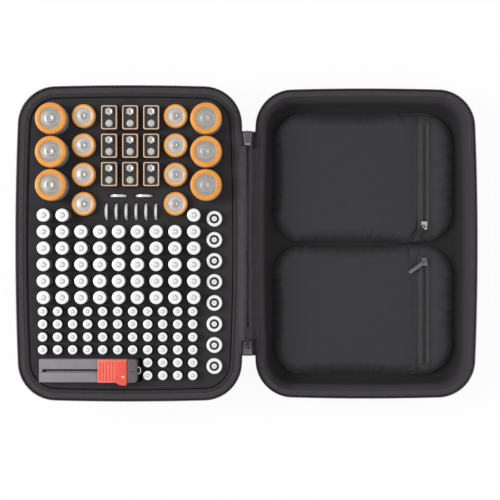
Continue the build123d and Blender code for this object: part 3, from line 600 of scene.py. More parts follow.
def zip_skin(node, body, centre_x, tape_z, inner_inset, spine_side):
    """Tape, teeth and stitches of one half, and the webs at the sliders; only the base has a binding."""
    top = tape_z + TAPE_THICKNESS
    made = Mesh(TAPE, BINDING, TEETH, THREAD)
    bound = spine_side > 0
    tape_edge = 8.4 if bound else inner_inset
    rows = [(0.5, tape_z + 0.2, TAPE), (0.5, top - 0.45, TAPE), (1.2, top - 0.15, TAPE),
            (3.4, top - 0.25, TAPE), (3.9, top - 0.1, TAPE), (5.6, top, TAPE),
            (tape_edge - 1.3, top - 0.1, TAPE), (tape_edge - 0.8, top - 0.35, TAPE),
            (tape_edge - 0.2, top - 0.2, TAPE)]
    if bound:
        rows += [(tape_edge, top - 0.9, BINDING), (tape_edge + 0.5, top - 0.35, BINDING),
                 (tape_edge + 1.9, top - 0.1, BINDING), (inner_inset - 0.7, top - 0.5, BINDING),
                 (inner_inset, top - 1.1, BINDING), (inner_inset, tape_z, BINDING)]
    else:
        rows += [(tape_edge, top - 0.7, TAPE), (tape_edge, tape_z, TAPE)]
    swept(made, rows, centre_x)
    head = tooth()
    for x, y, angle in along_outline(1.25, 2.0, spine_side):
        made.add(*head, TEETH, at(centre_x + x, y, top - 0.25, angle - 90))
    thread = stitch()
    for inset in (3.5, tape_edge - 0.85):
        for x, y, angle in along_outline(inset, 3.1):
            made.add(*thread, THREAD, at(centre_x + x, y, top - 0.2, angle))
    for side in (-1, 1):
        if bound:
            made.box(TAPE, (12.2, 17.4, 1.3), 0.4, 2, at(-2.0, side * ZIP_SLIDER_Y, tape_z - 0.75))
        else:
            made.box(TAPE, (5.8, 19.4, 0.9), 0.35, 2, at(5.0, side * 115.0, tape_z - 1.15, 0, -14))
    made.make(node, body, "zip_tape")


zip_skin("base_zip", "base", BASE_X, BASE_TAPE_Z, 12.3, 1)
zip_skin("lid_zip", "lid", LID_X, LID_TAPE_Z, 8.0, -1)


# ================================================================ foam
def foam_slab(name, loops, low, high, bevel):
    """Filled plan with holes, made solid between low and high with rounded rims."""
    curve = bpy.data.curves.new(name, "CURVE")
    curve.dimensions = "2D"
    curve.fill_mode = "BOTH"
    for loop in loops:
        line = curve.splines.new("POLY")
        line.points.add(len(loop) - 1)
        for point, (x, y) in zip(line.points, loop):
            point.co = (x * MM, y * MM, 0, 1)
        line.use_cyclic_u = True
    curve.extrude = ((high - low) / 2 - bevel) * MM
    curve.bevel_depth = bevel * MM
    curve.bevel_resolution = 2
    curve.offset = -bevel * MM
    made = in_scene(name + "_line", curve)
    data = applied(made)
    bpy.data.objects.remove(made)
    data.transform(Matrix.Translation((0, 0, (low + high) / 2 * MM)))
    data.materials.clear()
    data.materials.append(FOAM)
    return data


def circle(x, y, radius, sides):
    return [(x + radius * math.cos(2 * math.pi * i / sides), y + radius * math.sin(2 * math.pi * i / sides))
            for i in range(sides)]


def moved(points, x, y):
    return [(px + x, py + y) for px, py in points]


def every(kind):
    return PLACES[kind] + LOOSE[kind]


def sockets(kinds, sides):
    return [circle(p[0], p[1], CELL_RADII[kind] + gap, sides) for kind in kinds for p in every(kind)]


tester_low, tester_high = box_mm("tester_body")
end_high = box_mm("tester_end_contact")[1]
gap = SOCKET_CLEARANCE
slot_x = (tester_low[0] - gap, end_high[0] + gap)
slot_y = (tester_low[1] - gap, tester_high[1] + gap)
tester_slot = moved(
    rounded_rectangle(slot_x[1] - slot_x[0], slot_y[1] - slot_y[0], 1.5), sum(slot_x) / 2, sum(slot_y) / 2
)
deep = [tester_slot] + sockets(("d", "c"), 56)
short = sockets(("aa", "aaa", "photo"), 36)
for p in every("block"):
    wide, deep_y = (side + 2 * gap for side in BLOCK_PLAN)
    short.append(moved(rounded_rectangle(wide, deep_y, 2.2), p[0], p[1]))
for p in every("coin"):
    wide, thin = COIN_SOCKET if p[4] > p[5] else COIN_SOCKET[::-1]
    short.append(moved(rounded_rectangle(wide, thin, 1.0), p[0], p[1]))

foam_edge = [(x + BASE_X, y) for x, y in outline(FOAM_INSET)]
upper = foam_slab("foam_upper", [foam_edge] + deep + short, SHORT_FLOOR_Z, FOAM_TOP_Z, 0.7)
lower = foam_slab("foam_lower", [foam_edge] + deep, FOAM_FLOOR_Z, SHORT_FLOOR_Z - 0.02, 0.2)
bm = bmesh.new()
bm.from_mesh(upper)
bm.from_mesh(lower)
for kind, width in (("photo", 17.3), ("coin", 0)):
    for p in every(kind):
        size = (width, width) if width else (p[4] + 0.5, p[5] + 0.5)
        floor_z = p[2] - 0.05
        plug = bmesh.ops.create_cube(bm, size=1.0)["verts"]
        tall = floor_z - SHORT_FLOOR_Z + 0.5
        bmesh.ops.scale(bm, vec=(size[0] * MM, size[1] * MM, tall * MM), verts=plug)
        bmesh.ops.translate(
            bm, vec=(p[0] * MM, p[1] * MM, (floor_z + SHORT_FLOOR_Z - 0.5) / 2 * MM), verts=plug
        )
foam_data = bpy.data.meshes.new("foam_insert_skin")
bm.to_mesh(foam_data)
bm.free()
foam_data.materials.append(FOAM)
foam_data.shade_smooth()
foam_data.set_sharp_from_angle(angle=math.radians(50))
foam = in_scene("foam_insert_skin", foam_data)
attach(foam, "base")
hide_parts("foam_insert")

pad_rows = [(19.6, 4.4, FOAM), (19.0, 5.0, FOAM), (19.0, 7.0, FOAM), (19.6, 7.9, FOAM)]
pad = swept(Mesh(FOAM), pad_rows, BASE_X, closed=False).make("foam_pad", "base", "foam")


# ================================================================ cells
def d_profile(length):
    top = length - 1.5
    return turned(
        (CAN, (0, 0), (12.5, 0), (13.0, 0.5)),
        (ORANGE, (14.6, 0.6), (16.6, 0.8)),
        (SIDE_GREY, (17.1, 1.6), (17.1, top - 3.0)),
        (ORANGE, (17.0, top - 1.8), (16.5, top - 0.7), (15.8, top - 0.2), (14.4, top), (12.2, top - 0.1)),
        (CAN, (11.7, top - 0.5), (11.4, top - 1.3), (10.2, top - 1.3), (9.6, top - 0.6), (8.6, top - 0.5),
         (8.1, top - 1.0), (6.0, top - 0.9)),
        (NUB, (5.0, top - 0.6), (4.7, length - 0.5), (4.1, length), (2.6, length), (2.2, length - 0.2),
         (0, length - 0.25)),
    )


def c_profile(length):
    top = length - 1.5
    return turned(
        (CAN, (0, 0), (9.4, 0), (10.0, 0.5)),
        (ORANGE, (12.6, 0.7)),
        (SIDE_GREY, (13.1, 1.5), (13.1, top - 2.6)),
        (ORANGE, (13.0, top - 1.6), (12.6, top - 0.6), (12.0, top - 0.1)),
        (PEACH, (10.7, top), (9.2, top - 0.1)),
        (CAN_SILVER, (8.7, top - 0.5), (8.3, top - 1.0), (7.0, top - 0.9), (5.6, top - 0.5)),
        (CAN, (4.2, top - 0.4)),
        (NUB, (3.5, top - 0.2), (3.3, length - 0.4), (2.8, length), (1.8, length), (1.5, length - 0.2),
         (0, length - 0.2)),
    )


def aa_profile(length):
    top = length - 1.0
    return turned(
        (CAN, (0, 0), (5.6, 0), (6.6, 0.4)),
        (SIDE_PALE, (7.2, 0.9), (7.25, 1.4)),
        (SIDE_DARK, (7.25, top - 8.4), (7.25, top - 2.0)),
        (CAN_PALE, (7.2, top - 1.3), (6.95, top - 0.5), (6.4, top - 0.1), (5.6, top), (4.6, top - 0.15),
         (3.9, top - 0.2)),
        (NUB, (3.0, top - 0.1), (2.75, top)),
        (NUB_PALE, (2.6, length - 0.3), (2.2, length)),
        (CAN_PALE, (1.2, length), (0, length)),
    )


def aaa_profile(length):
    top = length - 0.8
    return turned(
        (CAN, (0, 0), (4.0, 0), (4.7, 0.3)),
        (SIDE_PALE, (5.2, 0.8), (5.25, 1.2)),
        (SIDE_DARK, (5.25, top - 9.0), (5.25, top - 1.2)),
        (SIDE_PALE, (5.1, top - 0.5)),
        (CAN_PALE, (4.85, top - 0.2), (4.5, top - 0.05), (3.8, top), (2.8, top - 0.15)),
        (NUB, (2.15, top - 0.1), (1.95, top)),
        (NUB_PALE, (1.85, length - 0.25), (1.5, length)),
        (CAN_PALE, (0.8, length), (0, length)),
    )


def photo_profile(length):
    top = length - 1.0
    return turned(
        (CAN, (0, 0), (7.2, 0)),
        (SIDE_WHITE, (8.0, 0.4), (8.45, 0.9), (8.5, 1.4), (8.5, top - 1.0), (8.3, top - 0.3), (7.7, top),
         (6.0, top)),
        (SEAL, (5.3, top - 0.2), (5.1, top - 0.7), (3.2, top - 0.7)),
        (CAN_PALE, (2.9, top - 0.4), (2.8, length - 0.3), (2.4, length)),
        (NUB_PALE, (1.4, length), (0, length - 0.05)),
    )


def block_part():
    """Nine-volt block: copper jacket with a crimped rim, dark top plate and its two snaps."""
    made = Mesh(COPPER, RIM_COPPER, SEAL, SNAP, NUB)
    height = 46.4
    levels = [(1.2, 0.0, 1.0), (0.3, 0.3, 1.9), (0, 1.2, 2.1), (0, height - 1.6, 2.1),
              (0.15, height - 0.7, 2.2), (0.4, height - 0.25, 2.1), (0.8, height, 1.9),
              (1.3, height - 0.05, 1.7), (1.6, height - 0.5, 1.5), (1.7, height - 1.1, 1.5)]
    vertices = []
    for inset, z, radius in levels:
        ring = rounded_rectangle(BLOCK_PLAN[0] - 2 * inset, BLOCK_PLAN[1] - 2 * inset, radius)
        vertices += [(x, y, z) for x, y in ring]
    n = len(vertices) // len(levels)
    faces = bands(len(levels), n)
    slots = [RIM_COPPER if 4 <= i // n <= 7 else COPPER for i in range(len(faces))]
    faces += [tuple(range(n))[::-1], tuple(range(len(vertices) - n, len(vertices)))]
    made.add(vertices, faces, slots + [SEAL, SEAL])
    base = height - 1.1
    top = height + 2.1
    plug = turned(
        (SNAP, (3.9, base), (3.8, base + 0.5), (2.6, base + 0.7), (2.5, base + 1.4), (2.9, top - 0.5),
         (2.6, top), (1.4, top), (1.1, top - 0.3), (0, top - 0.3)),
    )
    made.add(*lathe(plug, 24), place=at(0, -6.35, 0))
    socket = turned(
        (SNAP, (4.2, base), (4.1, base + 0.5), (3.6, base + 0.7), (3.6, top - 0.4), (3.9, top - 0.1),
         (3.5, top), (2.7, top - 0.3), (2.4, top - 1.1)),
        (NUB, (1.4, top - 1.3), (0, top - 1.3)),
    )
    made.add(*lathe(socket, 6), place=at(0, 6.35, 0, 30))
    return made


def coin_part(diameter=20.0, thickness=3.2):
    """Coin on edge, its axis along Y and its foot on z = 0."""
    r, t = diameter / 2, thickness / 2
    rows = turned(
        (STEEL, (0, -t), (r - 3.2, -t), (r - 2.9, -t + 0.25), (r - 1.2, -t + 0.25), (r - 0.4, -t + 0.5),
         (r, -t + 0.9), (r, t - 0.5), (r - 0.5, t), (0, t)),
    )
    return lathe(rows, 48)


PROFILES = {
    "d": (d_profile, 56, "can_orange"),
    "c": (c_profile, 48, "can_orange"),
    "aa": (aa_profile, 32, "can_silver"),
    "aaa": (aaa_profile, 28, "can_silver"),
    "photo": (photo_profile, 36, "can_white"),
}
CELL_MATERIALS = (
    CAN, CAN_SILVER, CAN_PALE, NUB, NUB_PALE, SEAL, ORANGE, PEACH, SIDE_GREY, SIDE_DARK, SIDE_PALE,
    SIDE_WHITE, COPPER, RIM_COPPER, SNAP, STEEL,
)


def used(mesh):
    """Drop the materials that no face has."""
    kept = sorted(set(mesh.slots))
    mesh.materials = [mesh.materials[i] for i in kept]
    mesh.slots = [kept.index(i) for i in mesh.slots]
    return mesh


def cells_mesh(kind, places):
    made = Mesh(*CELL_MATERIALS)
    for i, (x, y, low, high, size_x, size_y) in enumerate(places):
        turn = (i * 137.5) % 360
        if kind in PROFILES:
            profile, sides, _ = PROFILES[kind]
            made.add(*lathe(profile(high - low), sides), place=at(x, y, low, turn))
        elif kind == "block":
            block = block_part()
            slots = [block.materials[s] for s in block.slots]
            made.add(np.vstack(block.vertices), block.faces, slots, at(x, y, low))
        else:
            disc = coin_part()
            middle = (low + high) / 2
            facing = 0 if size_x > size_y else 90
            made.add(*disc, place=at(x, y, middle, facing, 0, 90))
    return used(made)


SLOTS = {"block": "can_copper", "coin": "steel"}
for kind in CELL_NODES:
    slot_name = PROFILES[kind][2] if kind in PROFILES else SLOTS[kind]
    loose = "loose_" + kind + "_cell"
    cells_mesh(kind, PLACES[kind]).make(kind + "_cells", "base", slot_name, 35)
    cells_mesh(kind, LOOSE[kind]).make(loose, loose, slot_name, 35)


# ================================================================ tester
def tester_skin():
    low, high = tester_low, tester_high
    size = high - low
    middle = (low + high) / 2
    made = Mesh(GREY, BLACK, DARK)
    track_y = middle[1]
    half = 1.6
    rail_top = high[2] - 2.2
    for sign in (-1, 1):
        width = size[1] / 2 - half
        side_y = track_y + sign * (half + width / 2)
        made.box(GREY, (size[0], width, size[2]), 0.9, 3, at(middle[0], side_y, middle[2]))
    core = size[2] - 4.2
    made.box(BLACK, (size[0] - 0.6, 2 * half + 2.0, core), 0.2, 1,
             at(middle[0], track_y, low[2] + core / 2 + 0.1))
    made.box(GREY, (size[0] - 9.0, 0.9, 1.6), 0.3, 2, at(middle[0] + 3.0, track_y - 0.9, rail_top))
    made.box(GREY, (3.8, 2 * half + 0.4, 4.0), 0.5, 2, at(low[0] + 2.0, track_y, high[2] - 2.05))
    made.make("tester_body", "tester", "tester_grey")


def arm_skin():
    low, high = box_mm("tester_arm")
    made = Mesh(CORAL, RED, BLACK)
    track_y = (tester_low[1] + tester_high[1]) / 2
    plate_low = tester_high[2] + 0.3
    plate_top = plate_low + 3.0
    length = high[0] - low[0]
    middle_x = (low[0] + high[0]) / 2
    made.box(CORAL, (length, 25.0, 3.0), 0.8, 3, at(middle_x, track_y, (plate_low + plate_top) / 2))
    edge = low[1] - track_y
    toe = [(13.5, edge + 3.2), (10.0, edge + 2.4), (7.4, edge + 0.8), (5.6, edge), (1.2, edge),
           (0, edge + 1.0), (0, 10.0), (9.6, 10.0), (9.6, -6.0)]
    toe = [(high[0] - back, y) for back, y in toe]
    made.add(*prism(toe, plate_low + 0.1, plate_top + 0.25, 0.5, 3), RED, at(0, track_y, 0))
    pitch = (length - 7.0) / 7
    for i in range(6):
        rib_x = low[0] + (i + 0.5) * pitch
        made.box(CORAL, (1.8, 20.0, 2.4), 0.7, 3, at(rib_x, track_y - 0.3, plate_top - 0.25))
    made.box(CORAL, (length - 6.0, 3.2, 1.2), 0.5, 2,
             at(low[0] + length / 2 - 2.0, track_y + 11.0, plate_top - 0.1))
    made.box(BLACK, (length - 2.0, 2.4, 3.9), 0.4, 2, at(middle_x, track_y, plate_low - 1.6))
    made.make("tester_arm", "tester_arm", "tester_red")


def end_skin():
    low, high = box_mm("tester_end_block")
    made = Mesh(DARK, BLACK)
    size = high - low
    middle = (low + high) / 2
    plan = [(-size[0] / 2, -size[1] / 2), (size[0] / 2 - 3.0, -size[1] / 2)]
    for a in (-60, -30, 0):
        t = math.radians(a)
        plan.append((size[0] / 2 - 3.0 + 3.0 * math.cos(t), -size[1] / 2 + 3.0 + 3.0 * math.sin(t)))
    plan += [(x, -y) for x, y in plan[::-1]]
    made.add(*prism(plan, low[2], high[2], 0.8, 3), DARK, at(middle[0], middle[1], 0))
    made.box(BLACK, (size[0] - 3.4, 0.5, 0.3), 0.1, 1, at(middle[0] + 0.2, middle[1] - 0.4, high[2]))
    made.make("tester_end_block", "tester", "tester_dark")


def contact_skins():
    low, high = box_mm("tester_end_contact")
    y, z = (low[1] + high[1]) / 2, (low[2] + high[2]) / 2
    line = [(low[0] - 0.4, y - 3.6, z), (high[0] - 1.4, y - 3.0, z), (high[0] - 0.6, y - 2.0, z),
            (high[0] - 0.5, y + 2.0, z), (high[0] - 1.4, y + 3.0, z), (low[0] - 0.4, y + 3.6, z)]
    Mesh(STEEL).add(*tube(line, 0.7, 10), STEEL).make("tester_end_contact", "tester", "steel")
    low, high = box_mm("tester_arm_contact")
    middle = (low + high) / 2
    dome = turned(
        (BRASS, (0, low[2] - 0.4), (1.6, low[2] - 0.4), (1.55, high[2] - 0.35), (1.1, high[2] - 0.08),
         (0, high[2])),
    )
    Mesh(BRASS).add(*lathe(dome, 20), place=at(middle[0], middle[1], 0)).make(
        "tester_arm_contact", "tester_arm", "contact_brass")


tester_skin()
arm_skin()
end_skin()
contact_skins()


# ================================================================ lid pockets
ZIP_OFF = POCKET_ZIP_X - LID_X
SEAM_Z = SHELL_WALL + 0.2   # where a pocket is sewn to the lid's lining


def inside_pocket(x, y):
    """How far a point, from the pocket's middle, lies inside its seam; below 0 outside it."""
    qx = abs(x) - POCKET_WIDTH / 2 + POCKET_CORNER_R
    qy = abs(y) - POCKET_LENGTH / 2 + POCKET_CORNER_R
    return -(math.hypot(max(qx, 0), max(qy, 0)) + min(max(qx, qy), 0) - POCKET_CORNER_R)


def beside_zip(x, y):
    """How far a point of a pocket lies from its zip."""
    past = max(abs(y) - POCKET_ZIP_HALF, 0)
    return math.hypot(max(abs(x - ZIP_OFF) - 6.5, 0), past)


def pocket_height(x, y, seed):
    """First shape of the pocket cloth above the lid's floor, x and y from the pocket's middle."""
    d = inside_pocket(x, y)
    t = min(max(d / 15.0, 0), 1)
    swell = 9.2 * math.sqrt(max(1 - (1 - t) ** 2.2, 0))
    return swell + noise.noise(Vector((x * 0.06, y * 0.06, seed))) * 0.8 * t


SIM_SCALE = 0.02            # simulated in units of 50 mm, where the cloth solver is steady


def relaxed(data, pinned, slack, pressure, frames):
    """Cloth simulation of a panel held along its seams; returns its points in millimetres."""
    trial = data.copy()
    trial.transform(Matrix.Scale(SIM_SCALE / MM, 4))
    trial_cloth = in_scene("trial_cloth", trial)
    trial_cloth.vertex_groups.new(name="sewn").add(pinned, 1.0, "ADD")
    modifier = trial_cloth.modifiers.new("cloth", "CLOTH")
    settings = modifier.settings
    settings.quality = 6
    settings.mass = 0.2
    settings.tension_stiffness = settings.compression_stiffness = 12
    settings.shear_stiffness = 6
    settings.bending_stiffness = 0.08
    settings.air_damping = 2
    settings.shrink_min = settings.shrink_max = -slack
    settings.use_pressure = True
    settings.uniform_pressure_force = pressure
    settings.vertex_group_mass = "sewn"
    settings.effector_weights.gravity = 0
    modifier.collision_settings.use_collision = False
    modifier.point_cache.frame_start = 1
    modifier.point_cache.frame_end = frames
    for frame_number in range(1, frames + 1):
        bpy.context.scene.frame_set(frame_number)
    result = trial_cloth.evaluated_get(bpy.context.evaluated_depsgraph_get()).to_mesh()
    points = [v.co / SIM_SCALE for v in result.vertices]
    bpy.context.scene.frame_set(1)
    bpy.data.objects.remove(trial_cloth)
    bpy.data.meshes.remove(trial)
    return points


def pocket_skin(place, side, seed):
    step = 2.2
    nx = int(POCKET_WIDTH / step) + 3
    ny = int(POCKET_LENGTH / step) + 3
    index, vertices = {}, []
    for i in range(nx):
        for j in range(ny):
            x = (i - (nx - 1) / 2) * step
            y = (j - (ny - 1) / 2) * step
            d = inside_pocket(x, y)
            if d < -1.6 * step:
                continue
            if d < 0.35 * step:
                for _ in range(3):
                    d = inside_pocket(x, y)
                    gx = (inside_pocket(x + 0.01, y) - d) / 0.01
                    gy = (inside_pocket(x, y + 0.01) - d) / 0.01
                    x, y = x - d * gx, y - d * gy
                d = 0
            index[i, j] = (len(vertices), d)
            vertices.append((x, y, SEAM_Z + pocket_height(x, y, seed) if d > 0 else SEAM_Z))
    faces = []
    for i in range(nx - 1):
        for j in range(ny - 1):
            corners = [index.get(c) for c in ((i, j), (i + 1, j), (i + 1, j + 1), (i, j + 1))]
            if None in corners or all(c[1] <= 0 for c in corners):
                continue
            faces.append([c[0] for c in corners])
    made = Mesh(POCKET).add(vertices, faces, POCKET).make(
        place + "_pocket_panel", "lid", "pocket_cloth", 0, place + "_pocket_skin")
    bm = bmesh.new()
    bm.from_mesh(made.data)
    bmesh.ops.remove_doubles(bm, verts=bm.verts, dist=0.05 * MM)
    loose = [v for v in bm.verts if not v.link_faces]
    bmesh.ops.delete(bm, geom=loose, context="VERTS")
    bmesh.ops.recalc_face_normals(bm, faces=bm.faces)
    if sum(f.normal.z for f in bm.faces) < 0:
        bmesh.ops.reverse_faces(bm, faces=bm.faces)
    bm.to_mesh(made.data)
    bm.free()
    pinned = []
    for v in made.data.vertices:
        x, y = v.co.x / MM, v.co.y / MM
        if inside_pocket(x, y) < 0.4:
            pinned.append(v.index)
        elif beside_zip(x, y) < 0.5:
            v.co.z = (POCKET_TOP_Z - 0.1) * MM
            pinned.append(v.index)
    points = relaxed(made.data, pinned, slack=0.05, pressure=2.0, frames=26)
    for v, p in zip(made.data.vertices, points):
        near = beside_zip(p.x, p.y)
        ceiling = POCKET_TOP_Z - 0.1 + 2.8 * (1 - math.exp(-((near / 9.0) ** 2)))
        z = ceiling - math.log1p(math.exp((ceiling - p.z) * 1.6)) / 1.6 if p.z > ceiling - 3 else p.z
        v.co = (p.x * MM, p.y * MM, max(z, SEAM_Z) * MM)
    made.data.transform(Matrix.Translation((LID_X * MM, side * POCKET_Y * MM, 0)))
    made.data.shade_smooth()


pocket_skin("upper", 1, 1.0)
pocket_skin("lower", -1, 7.0)


def pocket_zip_skins(place, side):
    middle_y = side * POCKET_Y
    half = POCKET_ZIP_HALF
    tape = Mesh(ZIP_CLOTH, THREAD)
    z = POCKET_TOP_Z
    for sign in (-1, 1):
        lip = [(sign * 6.5, z + 0.05), (sign * 6.3, z + 0.5), (sign * 5.2, z + 0.75), (sign * 4.1, z + 0.6),
               (sign * 3.9, z + 0.15)]
        steps = 60
        vertices = []
        for i in range(steps + 1):
            y = -half + 2 * half * i / steps
            wobble = 0.25 * noise.noise(Vector((y * 0.06, sign * 3.0, side * 2.0)))
            vertices += [(POCKET_ZIP_X + x + wobble, middle_y + y, zz) for x, zz in lip]
        faces = [(a, d, c, b) for a, b, c, d in bands(steps + 1, len(lip), ring=False)]
        tape.add(vertices, faces, ZIP_CLOTH)
        thread = stitch(2.2, 0.2)
        count = int(2 * half / 3.0)
        for i in range(count):
            y = middle_y - half + (i + 0.5) * 2 * half / count
            tape.add(*thread, THREAD, at(POCKET_ZIP_X + sign * 5.4, y, z + 0.68, 90))
    tape.box(ZIP_CLOTH, (9.0, 2 * half - 0.4, 0.5), 0.2, 1, at(POCKET_ZIP_X, middle_y, z + 0.3))
    ribbon = tape.make(place + "_pocket_zip_tape", "lid", "zip_tape", name=place + "_pocket_tape_skin")
    coil = Mesh(COIL)
    pitch = 1.6
    turns = int((2 * half - 2) / pitch)
    for i in range(turns):
        y = middle_y - half + 1 + (i + 0.5) * pitch
        for sign in (-1, 1):
            shift = pitch / 4 * sign
            loop = [(POCKET_ZIP_X + sign * 1.5, y + shift - 0.3, z + 0.75),
                    (POCKET_ZIP_X + sign * 0.9, y + shift, z + 1.35),
                    (POCKET_ZIP_X - sign * 0.5, y + shift + 0.1, z + 1.35),
                    (POCKET_ZIP_X - sign * 0.8, y + shift, z + 0.9)]
            coil.add(*tube(loop, 0.36, 5), COIL)
    coil.make(place + "_pocket_coil", "lid", "zip_coil")


pocket_zip_skins("upper", 1)
pocket_zip_skins("lower", -1)


# ================================================================ sliders and pulls
def slider_part(size):
    """Zip slider on z = 0, narrow nose towards -Y: two plates with a waist between them."""
    width, length, height = size
    plan = []
    for t in evenly(0, 1, 10):
        half = width / 2 * (0.74 + 0.26 * (3 * t * t - 2 * t ** 3))
        plan.append((half, -length / 2 + length * t))
    full = plan + [(-x, y) for x, y in plan[::-1]]
    plate = prism(full, 0, height * 0.36, height * 0.12, 2)
    top = prism(full, height * 0.62, height, height * 0.16, 3)
    waist = prism([(x * 0.8, y * 0.94) for x, y in full], height * 0.3, height * 0.7)
    return [plate, top, waist]


def shifted(part, x, y=0):
    return np.array(part[0]) + (x, y, 0), part[1]


def pull_part(length, width, thickness=1.0, rim=1.0):
    """Pull along +X from its crossbar on the Y axis, with a window and a ribbed grip."""
    end = length - 0.5 - width / 2
    turns = [math.radians(a) for a in evenly(-90, 90, 9)]
    plan = [(end + width / 2 * math.cos(t), width / 2 * math.sin(t)) for t in turns]
    plan += [(2.9, width / 2), (2.9, -width / 2)]
    parts = [prism(plan, -thickness / 2, thickness / 2, 0.25, 2)]
    for sign in (-1, 1):
        side_rail = rounded_box((3.6, rim, thickness), 0.25, 2)
        parts.append(shifted(side_rail, 1.4, sign * (width / 2 - rim / 2)))
    parts.append(rounded_box((1.0, width, thickness), 0.25, 2))
    for i in range(int((length - 9) / 2.2)):
        parts.append(shifted(rounded_box((0.9, width - 1.2, thickness + 0.3), 0.25, 2), 5.5 + i * 2.2))
    return parts


def bridge_part(opening=1.7, wall=0.8):
    """Arch over a crossbar along the Y axis."""
    r = opening / 2 + wall / 2
    line = [(-r, 0, -opening / 2), (-r, 0, 0.1)]
    for a in evenly(160, 20, 7):
        t = math.radians(a)
        line.append((r * math.cos(t), 0, r * math.sin(t) + 0.15))
    line += [(r, 0, 0.1), (r, 0, -opening / 2)]
    return tube(line, wall / 2, 8)


def pull_skin(node, grip, length, width, place):
    tab = Mesh(grip)
    for part in pull_part(length, width):
        tab.add(*part, grip, place)
    tab.make(node, node, "pull_black")


def zip_slider_skins():
    x = ZIP_SLIDER_X
    for place, side in (("upper", 1), ("lower", -1)):
        y = side * ZIP_SLIDER_Y
        made = Mesh(LACQUER, BRIGHT)
        for part in slider_part((10.0, 14.0, 3.6)):
            made.add(*part, LACQUER, at(x, y, BASE_TAPE_Z, 90 - 90 * side))
        if side > 0:
            pivot = at(x, ZIP_END_Y + 0.85, BASE_TAPE_Z + 1.8, 90, 90)
        else:
            pivot = at(x, y, BASE_TAPE_Z + 4.45, 90)
        made.add(*bridge_part(), LACQUER, pivot)
        if side > 0:
            for off in (-1.9, 0, 1.9):
                made.box(LACQUER, (0.9, 8.0, 1.2), 0.35, 2, at(x + off, y + 0.6, BASE_TAPE_Z + 3.6))
            # The bright nickel lip at the nose is a painted highlight on the slider's lower edge.
            made.box(BRIGHT, (6.6, 1.1, 1.2), 0.4, 2, at(x, y - 6.0, BASE_TAPE_Z + 3.4))
        made.make(place + "_zip_slider", "base", "slider_metal")
        pull_skin(place + "_zip_pull", RUBBER, 24.0, 4.6, pivot)


def pocket_slider_skins():
    size = (7.0, 9.0, 2.4)
    low = POCKET_TOP_Z + 0.85
    pivot_z = low + size[2] + 0.85
    for place, side, angle in (("upper", 1, 239.0), ("lower", -1, 216.0)):
        y = side * (POCKET_Y - POCKET_ZIP_HALF + 6.0)
        metal_skin, grip = (BRIGHT, RUBBER) if side > 0 else (DULL, DULL)
        made = Mesh(metal_skin)
        for part in slider_part(size):
            made.add(*part, metal_skin, at(POCKET_ZIP_X, y, low, 90 - 90 * side))
        made.add(*bridge_part(), metal_skin, at(POCKET_ZIP_X, y, pivot_z, angle))
        slider = place + "_pocket_slider"
        made.make(slider, slider, "slider_metal")
        pull_skin(place + "_pocket_pull", grip, 22.0, 4.0, at(POCKET_ZIP_X, y, pivot_z, angle, 3.5))


zip_slider_skins()
pocket_slider_skins()


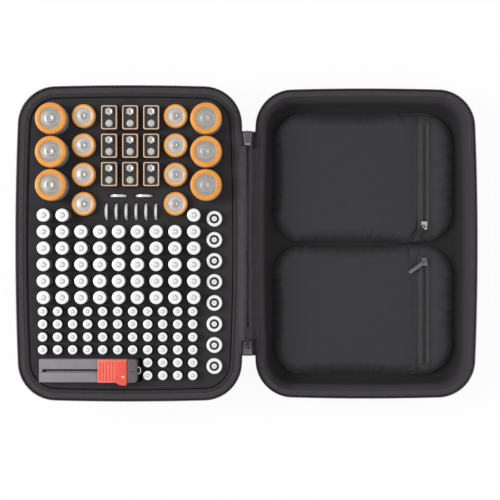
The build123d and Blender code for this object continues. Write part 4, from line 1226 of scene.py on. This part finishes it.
# ================================================================ spine cloth
def spine_skin():
    """Cloth strip from rim to rim, with a welt along each edge where it is sewn on."""
    section = [(-10.9, 52.2), (-9.6, 52.5), (-7.2, 52.4), (-6.3, 52.9), (-5.2, 53.6), (-4.2, 53.2),
               (-3.6, 51.0), (-3.2, 47.6), (-2.6, 44.8), (-1.8, 44.0), (-0.8, 44.7), (0.2, 44.9), (1.2, 43.8),
               (1.8, 41.4), (2.2, 38.0), (2.8, 35.4), (3.6, 34.4), (4.6, 34.8), (5.6, 34.0), (6.4, 33.0),
               (7.6, 33.1), (10.4, 32.6)]
    steps = 90
    vertices = []
    for i in range(steps + 1):
        y = -SPINE_HALF_LENGTH + 2 * SPINE_HALF_LENGTH * i / steps
        for x, z in section:
            middle = math.exp(-((x - 0.5) / 4.0) ** 2)
            pull = noise.noise(Vector((y * 0.045, 2.0, 1.0))) * 1.0 * middle
            crease = noise.noise(Vector((y * 0.16, x * 0.12, 4.0))) * 0.5 * middle
            fold = noise.noise(Vector((y * 0.02, x * 0.25, 9.0))) * 2.4 * middle
            vertices.append((x + pull, y, z + crease + fold))
    faces = bands(steps + 1, len(section), ring=False)
    made = Mesh(SPINE).add(vertices, faces, SPINE).make("spine_cloth", None, "lining_cloth", 80)
    thicken = made.modifiers.new("thickness", "SOLIDIFY")
    thicken.thickness = 0.9 * MM
    thicken.offset = 0
    thick = applied(made)
    made.modifiers.clear()
    made.data = thick
    made.data.name = "spine_cloth_skin"
    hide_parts("spine_cloth")
    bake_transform(made)


spine_skin()


# ================================================================ floor, light and camera
def stage_floor():
    """White floor that is brighter to the camera than it lights the case."""
    reach, glow_share = 30.0, 0.93          # reach in metres
    data = bpy.data.meshes.new("floor")
    corners = [(-reach, -reach, 0), (reach, -reach, 0), (reach, reach, 0), (-reach, reach, 0)]
    data.from_pydata(corners, [], [(0, 1, 2, 3)])
    floor = in_scene("floor", data)
    floor.location.z = -0.0002
    white = Surface("floor_white", (0.9, 0.9, 0.9, 1), 0.9)
    glow = white.node("ShaderNodeEmission", {"Color": (1, 1, 1, 1), "Strength": 1.0})
    share = white.math("MULTIPLY", white.node("ShaderNodeLightPath").outputs["Is Camera Ray"], glow_share)
    mix = white.node("ShaderNodeMixShader", {0: share, 1: white.shader.outputs[0], 2: glow.outputs[0]})
    white.tree.links.new(mix.outputs[0], white.tree.nodes["Material Output"].inputs["Surface"])
    data.materials.append(white.material)


def lamp(name, place, size, power):
    """Square lamp at a place in metres that looks at the origin."""
    data = bpy.data.lights.new(name, "AREA")
    data.shape = "SQUARE"
    data.size = size
    data.energy = power
    made = in_scene(name, data)
    made.location = place
    made.rotation_mode = "QUATERNION"
    made.rotation_quaternion = Vector(place).to_track_quat("Z", "Y")


stage_floor()
lamp("key", (-2.0, 0.3, 1.5), size=1.0, power=34)
lamp("fill", (1.5, -0.8, 1.8), size=1.6, power=7)

world = bpy.data.worlds.new("studio")
bpy.context.scene.world = world
world.use_nodes = True
sky = world.node_tree.nodes["Background"]
sky.inputs["Color"].default_value = (1, 1, 1, 1)
sky.inputs["Strength"].default_value = 0.66

camera_data = bpy.data.cameras.new("camera")
camera_data.sensor_width = 36.0
camera_data.lens = 36.0 / (2 * 0.2725)      # 0.2725 is half the view's width over its distance
camera = in_scene("camera", camera_data)
camera.location = (0.0013, -0.0072, 1.052)
bpy.context.scene.camera = camera
bpy.context.scene.view_settings.view_transform = "Standard"
bpy.context.scene.view_settings.look = "None"
